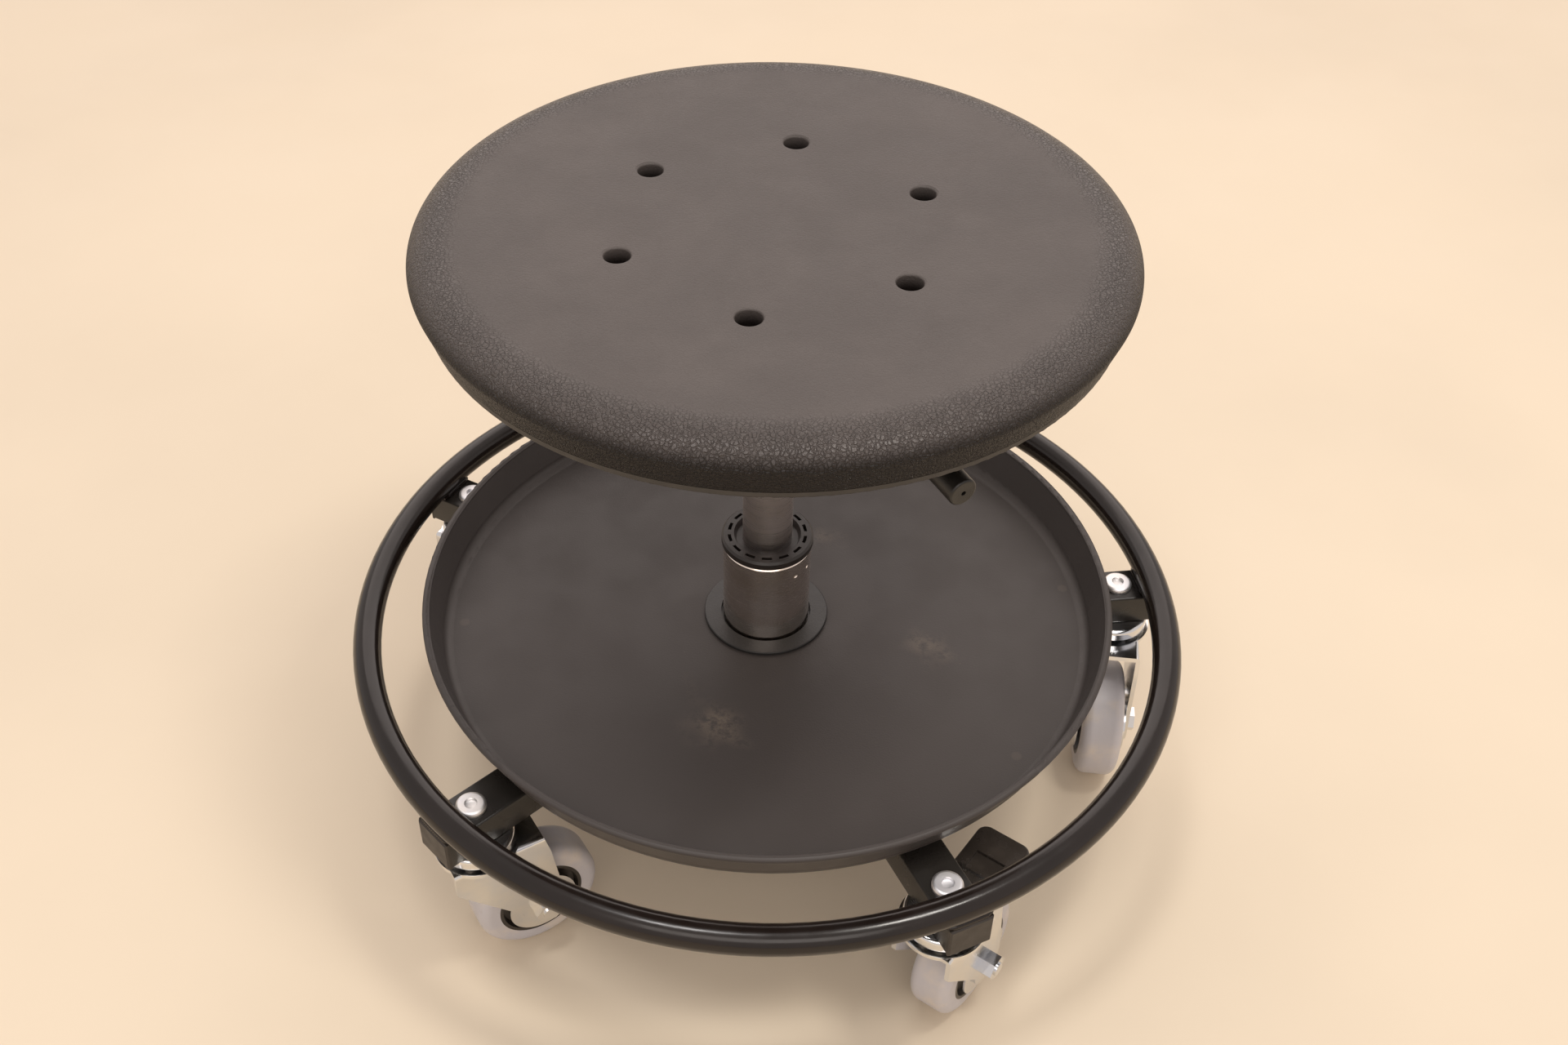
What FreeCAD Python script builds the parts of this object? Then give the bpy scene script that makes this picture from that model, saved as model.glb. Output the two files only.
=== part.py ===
import FreeCAD, Part
import math
import os

# Adjustable swivel stool: a round moulded seat on a gas lift, over a five-arm
# castor base that carries a round tool tray and a foot ring.
# Millimetres, +Z up.  The origin is on the floor, under the column's axis.

Vector = FreeCAD.Vector
UP = Vector(0, 0, 1)
PARTS = "parts"

# ---- Castors -------------------------------------------------------------
CASTOR_COUNT = 5
WHEEL_DIAMETER = 72.0
WHEEL_WIDTH = 24.0
TYRE_SHOULDER = 6.0
CORE_DIAMETER = 50.0
CORE_RECESS = 3.5
CORE_RIM = 3.0
HUB_DIAMETER = 20.0
HUB_STANDS_OUT = 1.0
HUB_SIDE_GAP = 0.4
CASTOR_TRAIL = 28.0
HEAD_ABOVE_WHEEL = 30.0
CASTOR_HEADINGS = (-96.0, -60.0, -30.0, 32.0, 55.0)
AXLE_DIAMETER = 8.0
AXLE_HEX = 13.0
AXLE_HEAD_HEIGHT = 4.5
AXLE_NUT_HEIGHT = 6.0
AXLE_TAIL = 1.0
GUARD_DIAMETER = 40.0
GUARD_THICKNESS = 1.2
FORK_SHEET = 2.5
FORK_LOBE = 13.0
FORK_HEAD_DIAMETER = 46.0
FORK_FRONT_INSET = 3.0
FORK_REAR_PAST_AXLE = 4.0
FORK_REAR_FLARE = 3.0
FORK_SHOULDER = 16.0
FORK_REAR_SHOULDER = 12.0
FORK_CUP_DIAMETER = 24.0
FORK_CUP_GAP = 0.4
KING_SLEEVE_GAP = 0.3
RACE_DIAMETER = 42.0
RACE_THICKNESS = 4.0
RACE_RIM = 2.5
RACE_WALL = 1.6
CASTOR_BALL_DIAMETER = 5.0
CASTOR_BALLS = 10
CASTOR_BALL_CIRCLE = 28.0
BALL_GAP = 0.03
KING_SLEEVE_DIAMETER = 13.0
SLEEVE_BELOW_FORK = 3.0
STEM_DIAMETER = 8.0
STEM_NUT_HEIGHT = 6.5
STEM_NUT_HEX = 13.0
STEM_NUT_FLANGE_DIAMETER = 22.0
STEM_NUT_FLANGE = 1.5
STEM_TAIL = 2.0
BOLT_FLANGE_DIAMETER = 17.5
BOLT_FLANGE = 0.8
BOLT_HEAD_DIAMETER = 16.6
BOLT_HEAD_HEIGHT = 2.4
BOLT_HEAD_ROUND = 2.2
BOLT_SOCKET_HEX = 5.0
BOLT_SOCKET_FLOOR = 0.6

# ---- Brake on the fifth castor -------------------------------------------
BRAKED_CASTOR = 5
BRAKE_PIVOT_X = 19.0
BRAKE_PIVOT_DROP = 7.0
BRAKE_EYE_DIAMETER = 11.0
BRAKE_SIDE_GAP = 0.8
BRAKE_SHOE_GAP = 2.6
BRAKE_SHOE_START = 24.0
BRAKE_SHOE_END = 34.0
BRAKE_SHOE_INSET = 2.0
BRAKE_PIN_DIAMETER = 5.0
BRAKE_PIN_HEAD = 1.5
BRAKE_PLATE = 2.5
BRAKE_PLATE_ABOVE_PIVOT = 3.0
BRAKE_PLATE_END = 60.0
PEDAL_START = 38.0
PEDAL_LENGTH = 30.0
PEDAL_WIDTH = 31.0
PEDAL_THICKNESS = 8.0
PEDAL_BELOW_PLATE = 2.5
PEDAL_CORNER = 6.0
PEDAL_STEP_LENGTH = 12.0
PEDAL_STEP_CHEEK = 7.0
PEDAL_STEP_ABOVE_PLATE = 1.1
PEDAL_EDGE = 1.2

# ---- Arms, foot ring and tray --------------------------------------------
FIRST_ARM_DEG = 8.3
ARM_WIDTH = 25.0
ARM_DEPTH = 20.0
ARM_WALL = 1.5
ARM_PAST_RING = 5.0
CAP_THICKNESS = 2.5
CAP_PLUG = 12.0
FOOT_RING_TUBE = 16.0
RING_TRAY_GAP = 25.0
CASTOR_INSIDE_RING = 18.0
TRAY_LIP_RADIUS = 198.0
TRAY_WALL_LEAN = 10.0
TRAY_DEPTH = 25.0
TRAY_SHEET = 1.5
TRAY_CORNER = 7.0
TRAY_LIP_BEAD = 2.0
TRAY_HOLE_GAP = 1.2
TRAY_RING_WIDTH = 9.8
TRAY_RING_RISE = 2.0
TRAY_RING_EDGE = 0.6

# ---- Column and gas lift -------------------------------------------------
HUB_WALL = 5.0
HUB_DEPTH = 26.0
COLUMN_DIAMETER = 50.0
COLUMN_WALL = 1.5
COLUMN_ABOVE_ARMS = 58.0
COLUMN_END_PLATE = 3.0
COLUMN_MOUTH_CHAMFER = 0.8
CRIMP_DROP = 9.0
CRIMP_DEPTH = 0.7
CRIMP_BALL = 2.2
CRIMP_AZIMUTHS = (-49.0, -25.0, 131.0, 155.0)
BUSH_FLANGE_DIAMETER = 52.0
BUSH_FLANGE_HEIGHT = 6.0
BUSH_LENGTH = 54.0
BUSH_FLANGE_UNDERCUT = 1.4
BUSH_SEAT_WIDTH = 1.0
BUSH_EDGE = 1.2
BUSH_SLOTS = 14
BUSH_SLOT_RADIUS = 21.6
BUSH_SLOT_WIDTH = 1.8
BUSH_SLOT_DEPTH = 3.0
BUSH_RIB_SHARE = 0.4
BUSH_WELL_DIAMETER = 37.0
BUSH_WELL_DEPTH = 3.0
BUSH_WELL_LEAN = 1.5
CYLINDER_DIAMETER = 28.0
CYLINDER_WALL = 1.6
CYLINDER_ENGAGED = 59.0
TAPER_LENGTH = 35.0
TAPER_DROP = 1.4
CYLINDER_LID = 1.5
CYLINDER_MOUTH_GAP = 3.0
LIFT_DOWN = 75.0
LIFT_UP = 20.0
LIFT_END_GAP = 7.0
PISTON_END_GAP = 3.0
ROD_DIAMETER = 10.0
ROD_NECK_DIAMETER = 8.0
ROD_GROOVE_DEPTH = 0.8
PISTON_HEIGHT = 12.0
PISTON_GROOVE = 3.0
PISTON_GROOVE_DEPTH = 1.5
ROD_GUIDE_HEIGHT = 20.0
VALVE_BODY_HEIGHT = 26.0
VALVE_PIN_DIAMETER = 8.0
VALVE_PIN_CHAMFER = 0.6
BUFFER_HEIGHT = 8.0
BUFFER_DIAMETER = 18.0
THRUST_DIAMETER = 24.0
THRUST_WASHER = 1.5
THRUST_BALL_DIAMETER = 3.0
THRUST_BALLS = 12
THRUST_CAGE_WIDTH = 5.2
THRUST_CAGE_THICKNESS = 1.2
THRUST_BALL_GAP = 0.02
CAGE_BALL_GAP = 0.1
CLIP_THICKNESS = 1.5
CLIP_GAP = 0.3
CLIP_STANDS_OUT = 3.5
CLIP_MOUTH = 3.0
RUNNING_GAP = 0.05

# ---- Seat and its mount --------------------------------------------------
SEAT_HEIGHT = 390.0
SEAT_DIAMETER = 356.0
SEAT_PAD_EDGE = 24.5
SEAT_DISH = 3.0
SEAT_SHOULDER = 15.0
SEAT_SIDE_TAPER = 5.0
SEAT_SHOULDER_REACH = 1.6
PAN_DIAMETER = 345.0
PAN_THICKNESS = 3.0
PAN_EDGE = 0.8
VENT_COUNT = 6
VENT_DIAMETER = 13.0
VENT_CIRCLE_RADIUS = 80.0
VENT_FIRST_DEG = 22.5
PLATE_SIDE = 150.0
PLATE_THICKNESS = 4.0
PLATE_CORNER = 12.0
CHANNEL_WIDTH = 56.0
CHANNEL_DEPTH = 40.0
CHANNEL_BACK = 40.0
CHANNEL_FRONT = 62.0
CHANNEL_SHEET = 3.0
SOCKET_DIAMETER = 40.0
SOCKET_BELOW = 12.0
SOCKET_CHAMFER = 1.5
SOCKET_TOP_DROP = 2.0
SCREW_DIAMETER = 6.0
SCREW_HEX = 10.0
SCREW_FLANGE = 1.2
SCREW_HEAD_HEIGHT = 6.0
SCREW_TIP_GAP = 1.0
SCREW_CIRCLE_SIDE = 120.0
INSERT_DIAMETER = 10.0
INSERT_DEPTH = 10.0
INSERT_COLLAR_WIDTH = 2.0
INSERT_COLLAR_DEPTH = 2.0

# ---- Height lever --------------------------------------------------------
LEVER_AZIMUTH = -59.5
LEVER_ROD_DIAMETER = 8.0
LEVER_REACH = 168.0
LEVER_INNER = 8.0
LEVER_PIVOT_OUT = 36.0
LEVER_PIVOT_DROP = 10.0
LEVER_SLOPE_DEG = 3.0
LEVER_ROD_BELOW_PLATE = 8.0
LEVER_ABOVE_CYLINDER = 1.5
LEVER_BOSS_DIAMETER = 13.0
LEVER_BOSS_SIDE_GAP = 0.5
LEVER_WEB_LENGTH = 10.0
LEVER_WEB_THICKNESS = 6.0
LEVER_PIN_DIAMETER = 6.0
LEVER_PIN_HEAD = 2.5
LEVER_PIN_HEAD_WIDTH = 2.0
LEVER_PIN_TAIL = 1.5
LEVER_PIN_TAIL_WIDTH = 1.0
GRIP_DIAMETER = 14.0
GRIP_LENGTH = 72.0
GRIP_SOCKET_DEPTH = 60.0
GRIP_EDGE = 1.2
GRIP_PIP_DIAMETER = 2.4
GRIP_PIP_DEPTH = 2.5
PIN_TIP_GAP = 0.3

# ---- Heights that follow from the sizes above ----------------------------
WHEEL_RADIUS = WHEEL_DIAMETER / 2
AXLE_Z = WHEEL_RADIUS
CASTOR_HEIGHT = WHEEL_DIAMETER + HEAD_ABOVE_WHEEL
FOOT_RING_RADIUS = TRAY_LIP_RADIUS + RING_TRAY_GAP + FOOT_RING_TUBE / 2
CASTOR_CIRCLE_RADIUS = FOOT_RING_RADIUS - CASTOR_INSIDE_RING
ARM_END_RADIUS = FOOT_RING_RADIUS + ARM_PAST_RING
TRAY_FLOOR_RADIUS = TRAY_LIP_RADIUS - TRAY_WALL_LEAN
ARM_BOTTOM = CASTOR_HEIGHT
ARM_TOP = ARM_BOTTOM + ARM_DEPTH
RACE_BOTTOM = CASTOR_HEIGHT - RACE_THICKNESS
FORK_HEAD_TOP = RACE_BOTTOM - CASTOR_BALL_DIAMETER
FORK_HEAD_BOTTOM = FORK_HEAD_TOP - FORK_SHEET
STEM_NUT_TOP = FORK_HEAD_BOTTOM - SLEEVE_BELOW_FORK
HUB_RADIUS = COLUMN_DIAMETER / 2 + HUB_WALL
TRAY_FLOOR_TOP = ARM_TOP + TRAY_SHEET
TRAY_LIP_Z = ARM_TOP + TRAY_SHEET + TRAY_DEPTH
COLUMN_TOP = ARM_TOP + COLUMN_ABOVE_ARMS
BUSH_TOP = COLUMN_TOP + BUSH_FLANGE_HEIGHT
PAD_BOTTOM = SEAT_HEIGHT - SEAT_PAD_EDGE
PAN_BOTTOM = PAD_BOTTOM - PAN_THICKNESS
PLATE_BOTTOM = PAN_BOTTOM - PLATE_THICKNESS
CHANNEL_BOTTOM = PLATE_BOTTOM - CHANNEL_DEPTH
SOCKET_BOTTOM = CHANNEL_BOTTOM - SOCKET_BELOW
LEVER_Z = PLATE_BOTTOM - LEVER_ROD_BELOW_PLATE
CYLINDER_TOP = LEVER_Z - LEVER_ROD_DIAMETER / 2 - LEVER_ABOVE_CYLINDER
CYLINDER_BOTTOM = COLUMN_TOP - CYLINDER_ENGAGED
SOCKET_TOP = CYLINDER_TOP - SOCKET_TOP_DROP
THRUST_STACK = 2 * THRUST_WASHER + THRUST_BALL_DIAMETER
THRUST_TOP = CYLINDER_BOTTOM - LIFT_DOWN - LIFT_END_GAP - BUFFER_HEIGHT
THRUST_BOTTOM = THRUST_TOP - THRUST_STACK
COLUMN_BOTTOM = THRUST_BOTTOM - COLUMN_END_PLATE
PISTON_BOTTOM = CYLINDER_BOTTOM + LIFT_UP + ROD_GUIDE_HEIGHT + PISTON_END_GAP
PISTON_TOP = PISTON_BOTTOM + PISTON_HEIGHT


# ---- Small building blocks -----------------------------------------------
NEAR = 0.01


def at(radius, degrees, z=0.0):
    """Return the point at a radius and azimuth about the column's axis."""
    angle = math.radians(degrees)
    return Vector(radius * math.cos(angle), radius * math.sin(angle), z)


def disc(radius, bottom, top, centre=Vector(0, 0, 0)):
    """Return a solid round along Z between two heights."""
    base = Vector(centre.x, centre.y, bottom)
    return Part.makeCylinder(radius, top - bottom, base, UP)


def ring(outer, inner, bottom, top, centre=Vector(0, 0, 0)):
    """Return a round tube or washer along Z between two heights."""
    hole = disc(inner, bottom - 1, top + 1, centre)
    return disc(outer, bottom, top, centre).cut(hole)


def hexagon(across_flats, bottom, top, centre=Vector(0, 0, 0)):
    """Return a hexagonal prism along Z."""
    reach = across_flats / math.sqrt(3)
    points = []
    for k in range(7):
        angle = math.radians(60 * k)
        x = centre.x + reach * math.cos(angle)
        y = centre.y + reach * math.sin(angle)
        points.append(Vector(x, y, bottom))
    return Part.Face(Part.makePolygon(points)).extrude(UP * (top - bottom))


def block(x0, x1, y0, y1, z0, z1):
    """Return a box between two corners."""
    return Part.makeBox(x1 - x0, y1 - y0, z1 - z0, Vector(x0, y0, z0))


def turned(edges):
    """Return the solid that a closed half-section turns about Z."""
    return Part.Face(Part.Wire(edges)).revolve(Vector(0, 0, 0), UP, 360)


def line(r0, z0, r1, z1):
    """Return a straight edge of a half-section."""
    return Part.makeLine(Vector(r0, 0, z0), Vector(r1, 0, z1))


def arc(r0, z0, r1, z1, r2, z2):
    """Return an arc of a half-section through three points."""
    return Part.Arc(Vector(r0, 0, z0), Vector(r1, 0, z1), Vector(r2, 0, z2)).toShape()


def placed(shape, turn_deg, to=Vector(0, 0, 0)):
    """Return a copy turned about Z and then moved."""
    copy = shape.copy()
    copy.rotate(Vector(0, 0, 0), UP, turn_deg)
    copy.translate(to)
    return copy


def across(radius, y0, y1, x, z):
    """Return a round bar along Y, such as an axle or a pin."""
    return Part.makeCylinder(radius, y1 - y0, Vector(x, y0, z), Vector(0, 1, 0))


def upright_edges(shape):
    """Return the straight vertical edges of a shape."""
    found = []
    for edge in shape.Edges:
        if len(edge.Vertexes) != 2:
            continue
        run = edge.Vertexes[1].Point.sub(edge.Vertexes[0].Point)
        if run.Length > NEAR and abs(run.z) > 0.999 * run.Length:
            found.append(edge)
    return found


def save(name, shape):
    """Write one node's solids."""
    shape.exportStep(os.path.join(PARTS, name + ".step"))


def arm_azimuth(index):
    """Return the azimuth of an arm, counted from 1."""
    return FIRST_ARM_DEG + (index - 1) * 360.0 / CASTOR_COUNT


def castor_pivot(index):
    """Return the floor point under a castor's swivel axis."""
    return at(CASTOR_CIRCLE_RADIUS, arm_azimuth(index))


def every_castor():
    """Return the castor numbers, counted from 1."""
    return range(1, CASTOR_COUNT + 1)


# ---- Base: hub, arms, caps, ring and tray --------------------------------
def make_hub():
    """Return the steel hub that the arms are welded to."""
    return ring(HUB_RADIUS, COLUMN_DIAMETER / 2, ARM_TOP - HUB_DEPTH, ARM_TOP)


def make_arm(index):
    """Return one box-section arm with its castor hole."""
    half = ARM_WIDTH / 2
    start = HUB_RADIUS - ARM_WALL
    outer = block(start, ARM_END_RADIUS, -half, half, ARM_BOTTOM, ARM_TOP)
    outer = outer.makeFillet(ARM_WALL, along_x(outer))
    inside = half - ARM_WALL
    low = ARM_BOTTOM + ARM_WALL
    high = ARM_TOP - ARM_WALL
    bore = block(start - 1, ARM_END_RADIUS + 1, -inside, inside, low, high)
    arm = outer.cut(bore)
    arm = arm.cut(disc(HUB_RADIUS, ARM_BOTTOM - 1, ARM_TOP + 1))
    centre = Vector(CASTOR_CIRCLE_RADIUS, 0, 0)
    arm = arm.cut(disc(STEM_DIAMETER / 2, ARM_BOTTOM - 1, ARM_TOP + 1, centre))
    return placed(arm, arm_azimuth(index))


def along_x(shape):
    """Return the long edges of a bar that lies along X."""
    found = []
    for edge in shape.Edges:
        run = edge.Vertexes[1].Point.sub(edge.Vertexes[0].Point)
        if abs(run.x) > 0.999 * run.Length:
            found.append(edge)
    return found


def make_end_caps():
    """Return the plastic plugs in the ends of the arms."""
    half = ARM_WIDTH / 2
    end = ARM_END_RADIUS + CAP_THICKNESS
    face = block(ARM_END_RADIUS, end, -half, half, ARM_BOTTOM, ARM_TOP)
    rim = [e for e in face.Edges if e.CenterOfMass.x > end - NEAR]
    face = face.makeChamfer(0.4 * CAP_THICKNESS, rim)
    inside = half - ARM_WALL
    low = ARM_BOTTOM + ARM_WALL
    high = ARM_TOP - ARM_WALL
    plug = block(ARM_END_RADIUS - CAP_PLUG, ARM_END_RADIUS, -inside, inside, low, high)
    cap = face.fuse(plug)
    return Part.makeCompound([placed(cap, arm_azimuth(k)) for k in every_castor()])


def make_foot_ring():
    """Return the round tube that rests on the arms."""
    tube = FOOT_RING_TUBE / 2
    centre = Vector(0, 0, ARM_TOP + tube)
    return Part.makeTorus(FOOT_RING_RADIUS, tube, centre, UP)


def make_tray():
    """Return the pressed tool tray with its rolled lip and middle hole."""
    hole = tray_ring_radius()
    low = ARM_TOP
    sheet = TRAY_SHEET
    corner = TRAY_CORNER
    lean = (TRAY_LIP_RADIUS - TRAY_LIP_BEAD - TRAY_FLOOR_RADIUS) / TRAY_DEPTH
    top = TRAY_LIP_Z - TRAY_LIP_BEAD
    foot_z = low + corner
    foot_r = TRAY_FLOOR_RADIUS + lean * (corner - sheet)
    top_r = TRAY_FLOOR_RADIUS + lean * (top - low - sheet)
    bend_out = foot_r - 0.3 * corner
    bead = TRAY_LIP_BEAD
    edges = [
        line(hole, low, foot_r - corner, low),
        arc(foot_r - corner, low, bend_out, low + 0.3 * corner, foot_r, foot_z),
        line(foot_r, foot_z, top_r, top),
        arc(top_r, top, top_r - sheet / 2, top + 0.6 * bead, top_r - sheet, top),
        line(top_r - sheet, top, foot_r - sheet, foot_z),
        arc(
            foot_r - sheet,
            foot_z,
            bend_out - 0.72 * sheet,
            low + 0.3 * corner + 0.72 * sheet,
            foot_r - corner,
            low + sheet,
        ),
        line(foot_r - corner, low + sheet, hole, low + sheet),
        line(hole, low + sheet, hole, low),
    ]
    pan = turned(edges)
    lip = Part.makeTorus(TRAY_LIP_RADIUS - bead, bead, Vector(0, 0, top), UP)
    return pan.fuse(lip)


def tray_ring_radius():
    """Return the outer radius of the ring that fills the tray's hole."""
    return COLUMN_DIAMETER / 2 + TRAY_HOLE_GAP + TRAY_RING_WIDTH


def make_tray_ring():
    """Return the flat ring that centres the tray on the column."""
    inner = COLUMN_DIAMETER / 2 + TRAY_HOLE_GAP
    outer = tray_ring_radius()
    flat = ring(outer, inner, ARM_TOP, TRAY_FLOOR_TOP + TRAY_RING_RISE)
    rim = [e for e in flat.Edges if is_top_rim(e, outer)]
    return flat.makeFillet(TRAY_RING_EDGE, rim)


def is_top_rim(edge, radius):
    """Say whether an edge is the upper outer circle of the tray ring."""
    curve = edge.Curve
    if not hasattr(curve, "Radius"):
        return False
    high = edge.CenterOfMass.z > TRAY_FLOOR_TOP + TRAY_RING_RISE / 2
    return high and abs(curve.Radius - radius) < NEAR


# ---- Column and gas lift -------------------------------------------------
def make_column_tube():
    """Return the outer tube with its bottom plate and crimp dimples."""
    outer = COLUMN_DIAMETER / 2
    inner = outer - COLUMN_WALL
    hole = ROD_NECK_DIAMETER / 2 + RUNNING_GAP
    chamfer = COLUMN_MOUTH_CHAMFER
    edges = [
        line(outer, COLUMN_BOTTOM, outer, COLUMN_TOP - chamfer),
        line(outer, COLUMN_TOP - chamfer, outer - chamfer, COLUMN_TOP),
        line(outer - chamfer, COLUMN_TOP, inner, COLUMN_TOP),
        line(inner, COLUMN_TOP, inner, THRUST_BOTTOM),
        line(inner, THRUST_BOTTOM, hole, THRUST_BOTTOM),
        line(hole, THRUST_BOTTOM, hole, COLUMN_BOTTOM),
        line(hole, COLUMN_BOTTOM, outer, COLUMN_BOTTOM),
    ]
    tube = turned(edges)
    reach = outer + CRIMP_BALL - CRIMP_DEPTH
    for azimuth in CRIMP_AZIMUTHS:
        centre = at(reach, azimuth, COLUMN_TOP - CRIMP_DROP)
        tube = tube.cut(Part.makeSphere(CRIMP_BALL, centre))
    return tube


def make_guide_bush():
    """Return the plastic bush that guides the cylinder in the tube."""
    bore = CYLINDER_DIAMETER / 2 + RUNNING_GAP
    sleeve = COLUMN_DIAMETER / 2 - COLUMN_WALL
    flange = BUSH_FLANGE_DIAMETER / 2
    edge = BUSH_EDGE
    seat = COLUMN_DIAMETER / 2 - BUSH_SEAT_WIDTH
    rim_z = COLUMN_TOP + BUSH_FLANGE_UNDERCUT
    well = BUSH_WELL_DIAMETER / 2 + BUSH_WELL_LEAN / 3
    floor = well - BUSH_WELL_LEAN
    well_z = BUSH_TOP - BUSH_WELL_DEPTH
    low = COLUMN_TOP - BUSH_LENGTH
    edges = [
        line(bore, low, sleeve, low),
        line(sleeve, low, sleeve, COLUMN_TOP),
        line(sleeve, COLUMN_TOP, seat, COLUMN_TOP),
        line(seat, COLUMN_TOP, flange, rim_z),
        line(flange, rim_z, flange, BUSH_TOP - edge),
        line(flange, BUSH_TOP - edge, flange - edge, BUSH_TOP),
        line(flange - edge, BUSH_TOP, well, BUSH_TOP),
        line(well, BUSH_TOP, floor, well_z),
        line(floor, well_z, bore, well_z),
        line(bore, well_z, bore, low),
    ]
    bush = turned(edges)
    half = BUSH_SLOT_WIDTH / 2
    slot_z = BUSH_TOP - BUSH_SLOT_DEPTH
    groove = ring(BUSH_SLOT_RADIUS + half, BUSH_SLOT_RADIUS - half, slot_z, BUSH_TOP + 1)
    pitch = 360.0 / BUSH_SLOTS
    rib = BUSH_RIB_SHARE / 2 * BUSH_SLOT_RADIUS * math.radians(pitch)
    for k in range(BUSH_SLOTS):
        bar = block(0, flange, -rib, rib, slot_z - 1, BUSH_TOP + 2)
        groove = groove.cut(placed(bar, k * pitch))
    return bush.cut(groove)


def make_lower_race():
    """Return the fixed washer of the thrust bearing."""
    inner = ROD_NECK_DIAMETER / 2 + RUNNING_GAP
    return ring(THRUST_DIAMETER / 2, inner, THRUST_BOTTOM, THRUST_BOTTOM + THRUST_WASHER)


def make_thrust_balls():
    """Return the balls and their cage, which turn with the rod."""
    radius = THRUST_BALL_DIAMETER / 2 - THRUST_BALL_GAP
    middle = THRUST_BOTTOM + THRUST_WASHER + THRUST_BALL_DIAMETER / 2
    circle = (THRUST_DIAMETER + ROD_NECK_DIAMETER) / 4
    reach = THRUST_CAGE_WIDTH / 2
    half = THRUST_CAGE_THICKNESS / 2
    cage = ring(circle + reach, circle - reach, middle - half, middle + half)
    solids = []
    for k in range(THRUST_BALLS):
        centre = at(circle, k * 360.0 / THRUST_BALLS, middle)
        cage = cage.cut(Part.makeSphere(radius + CAGE_BALL_GAP, centre))
        solids.append(Part.makeSphere(radius, centre))
    return Part.makeCompound([cage] + solids)


def make_upper_race():
    """Return the washer that the rod's shoulder bears on."""
    return ring(THRUST_DIAMETER / 2, ROD_NECK_DIAMETER / 2, THRUST_TOP - THRUST_WASHER, THRUST_TOP)


def make_piston_rod():
    """Return the rod with its neck and circlip groove."""
    foot = COLUMN_BOTTOM - 2.5 * CLIP_THICKNESS
    neck = disc(ROD_NECK_DIAMETER / 2, foot, THRUST_TOP)
    body = disc(ROD_DIAMETER / 2, THRUST_TOP, PISTON_TOP)
    top = COLUMN_BOTTOM - CLIP_GAP
    bottom = top - CLIP_THICKNESS
    floor = ROD_NECK_DIAMETER / 2 - ROD_GROOVE_DEPTH
    return neck.fuse(body).cut(ring(ROD_NECK_DIAMETER, floor, bottom, top))


def make_rod_clip():
    """Return the spring ring that keeps the rod in the tube."""
    top = COLUMN_BOTTOM - CLIP_GAP
    bottom = top - CLIP_THICKNESS
    outer = ROD_NECK_DIAMETER / 2 + CLIP_STANDS_OUT
    clip = ring(outer, ROD_NECK_DIAMETER / 2 - ROD_GROOVE_DEPTH, bottom, top)
    half = CLIP_MOUTH / 2
    return clip.cut(block(0, outer + 1, -half, half, bottom - 1, top + 1))


def make_buffer():
    """Return the rubber stop at the foot of the rod."""
    return ring(BUFFER_DIAMETER / 2, ROD_DIAMETER / 2, THRUST_TOP, THRUST_TOP + BUFFER_HEIGHT)


def cylinder_bore():
    """Return the radius of the gas cylinder's bore."""
    return CYLINDER_DIAMETER / 2 - CYLINDER_WALL


def make_piston():
    """Return the piston with its seal groove."""
    radius = cylinder_bore() - RUNNING_GAP
    body = ring(radius, ROD_DIAMETER / 2, PISTON_BOTTOM, PISTON_TOP)
    middle = (PISTON_BOTTOM + PISTON_TOP) / 2
    half = PISTON_GROOVE / 2
    return body.cut(ring(radius + 1, radius - PISTON_GROOVE_DEPTH, middle - half, middle + half))


def make_gas_cylinder():
    """Return the pressure tube with the taper that seats in the seat mount."""
    outer = CYLINDER_DIAMETER / 2
    bore = cylinder_bore()
    taper_z = CYLINDER_TOP - TAPER_LENGTH
    tip = outer - TAPER_DROP / 2
    neck = bore - TAPER_DROP / 2
    mouth = VALVE_PIN_DIAMETER / 2 + CYLINDER_MOUTH_GAP
    lid_z = CYLINDER_TOP - CYLINDER_LID
    edges = [
        line(bore, CYLINDER_BOTTOM, outer, CYLINDER_BOTTOM),
        line(outer, CYLINDER_BOTTOM, outer, taper_z),
        line(outer, taper_z, tip, CYLINDER_TOP),
        line(tip, CYLINDER_TOP, mouth, CYLINDER_TOP),
        line(mouth, CYLINDER_TOP, mouth, lid_z),
        line(mouth, lid_z, neck, lid_z),
        line(neck, lid_z, bore, taper_z),
        line(bore, taper_z, bore, CYLINDER_BOTTOM),
    ]
    return turned(edges)


def make_rod_guide():
    """Return the guide and seal at the foot of the gas cylinder."""
    inner = ROD_DIAMETER / 2 + RUNNING_GAP
    return ring(cylinder_bore(), inner, CYLINDER_BOTTOM, CYLINDER_BOTTOM + ROD_GUIDE_HEIGHT)


def make_valve_body():
    """Return the valve block at the top of the gas cylinder."""
    top = CYLINDER_TOP - CYLINDER_LID
    bottom = top - VALVE_BODY_HEIGHT
    radius = cylinder_bore() - TAPER_DROP / 2
    inner = VALVE_PIN_DIAMETER / 2 + RUNNING_GAP
    return ring(radius, inner, bottom, top)


def lever_rod_height(out):
    """Return the height of the lever rod's axis at a distance from the column."""
    return LEVER_Z - (out - LEVER_PIVOT_OUT) * math.tan(math.radians(LEVER_SLOPE_DEG))


def make_valve_pin():
    """Return the release pin that the lever pushes down."""
    top = lever_rod_height(0) - LEVER_ROD_DIAMETER / 2 - PIN_TIP_GAP
    bottom = CYLINDER_TOP - VALVE_BODY_HEIGHT
    pin = disc(VALVE_PIN_DIAMETER / 2, bottom, top)
    rim = [e for e in pin.Edges if e.CenterOfMass.z > top - NEAR]
    return pin.makeChamfer(VALVE_PIN_CHAMFER, rim)


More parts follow.
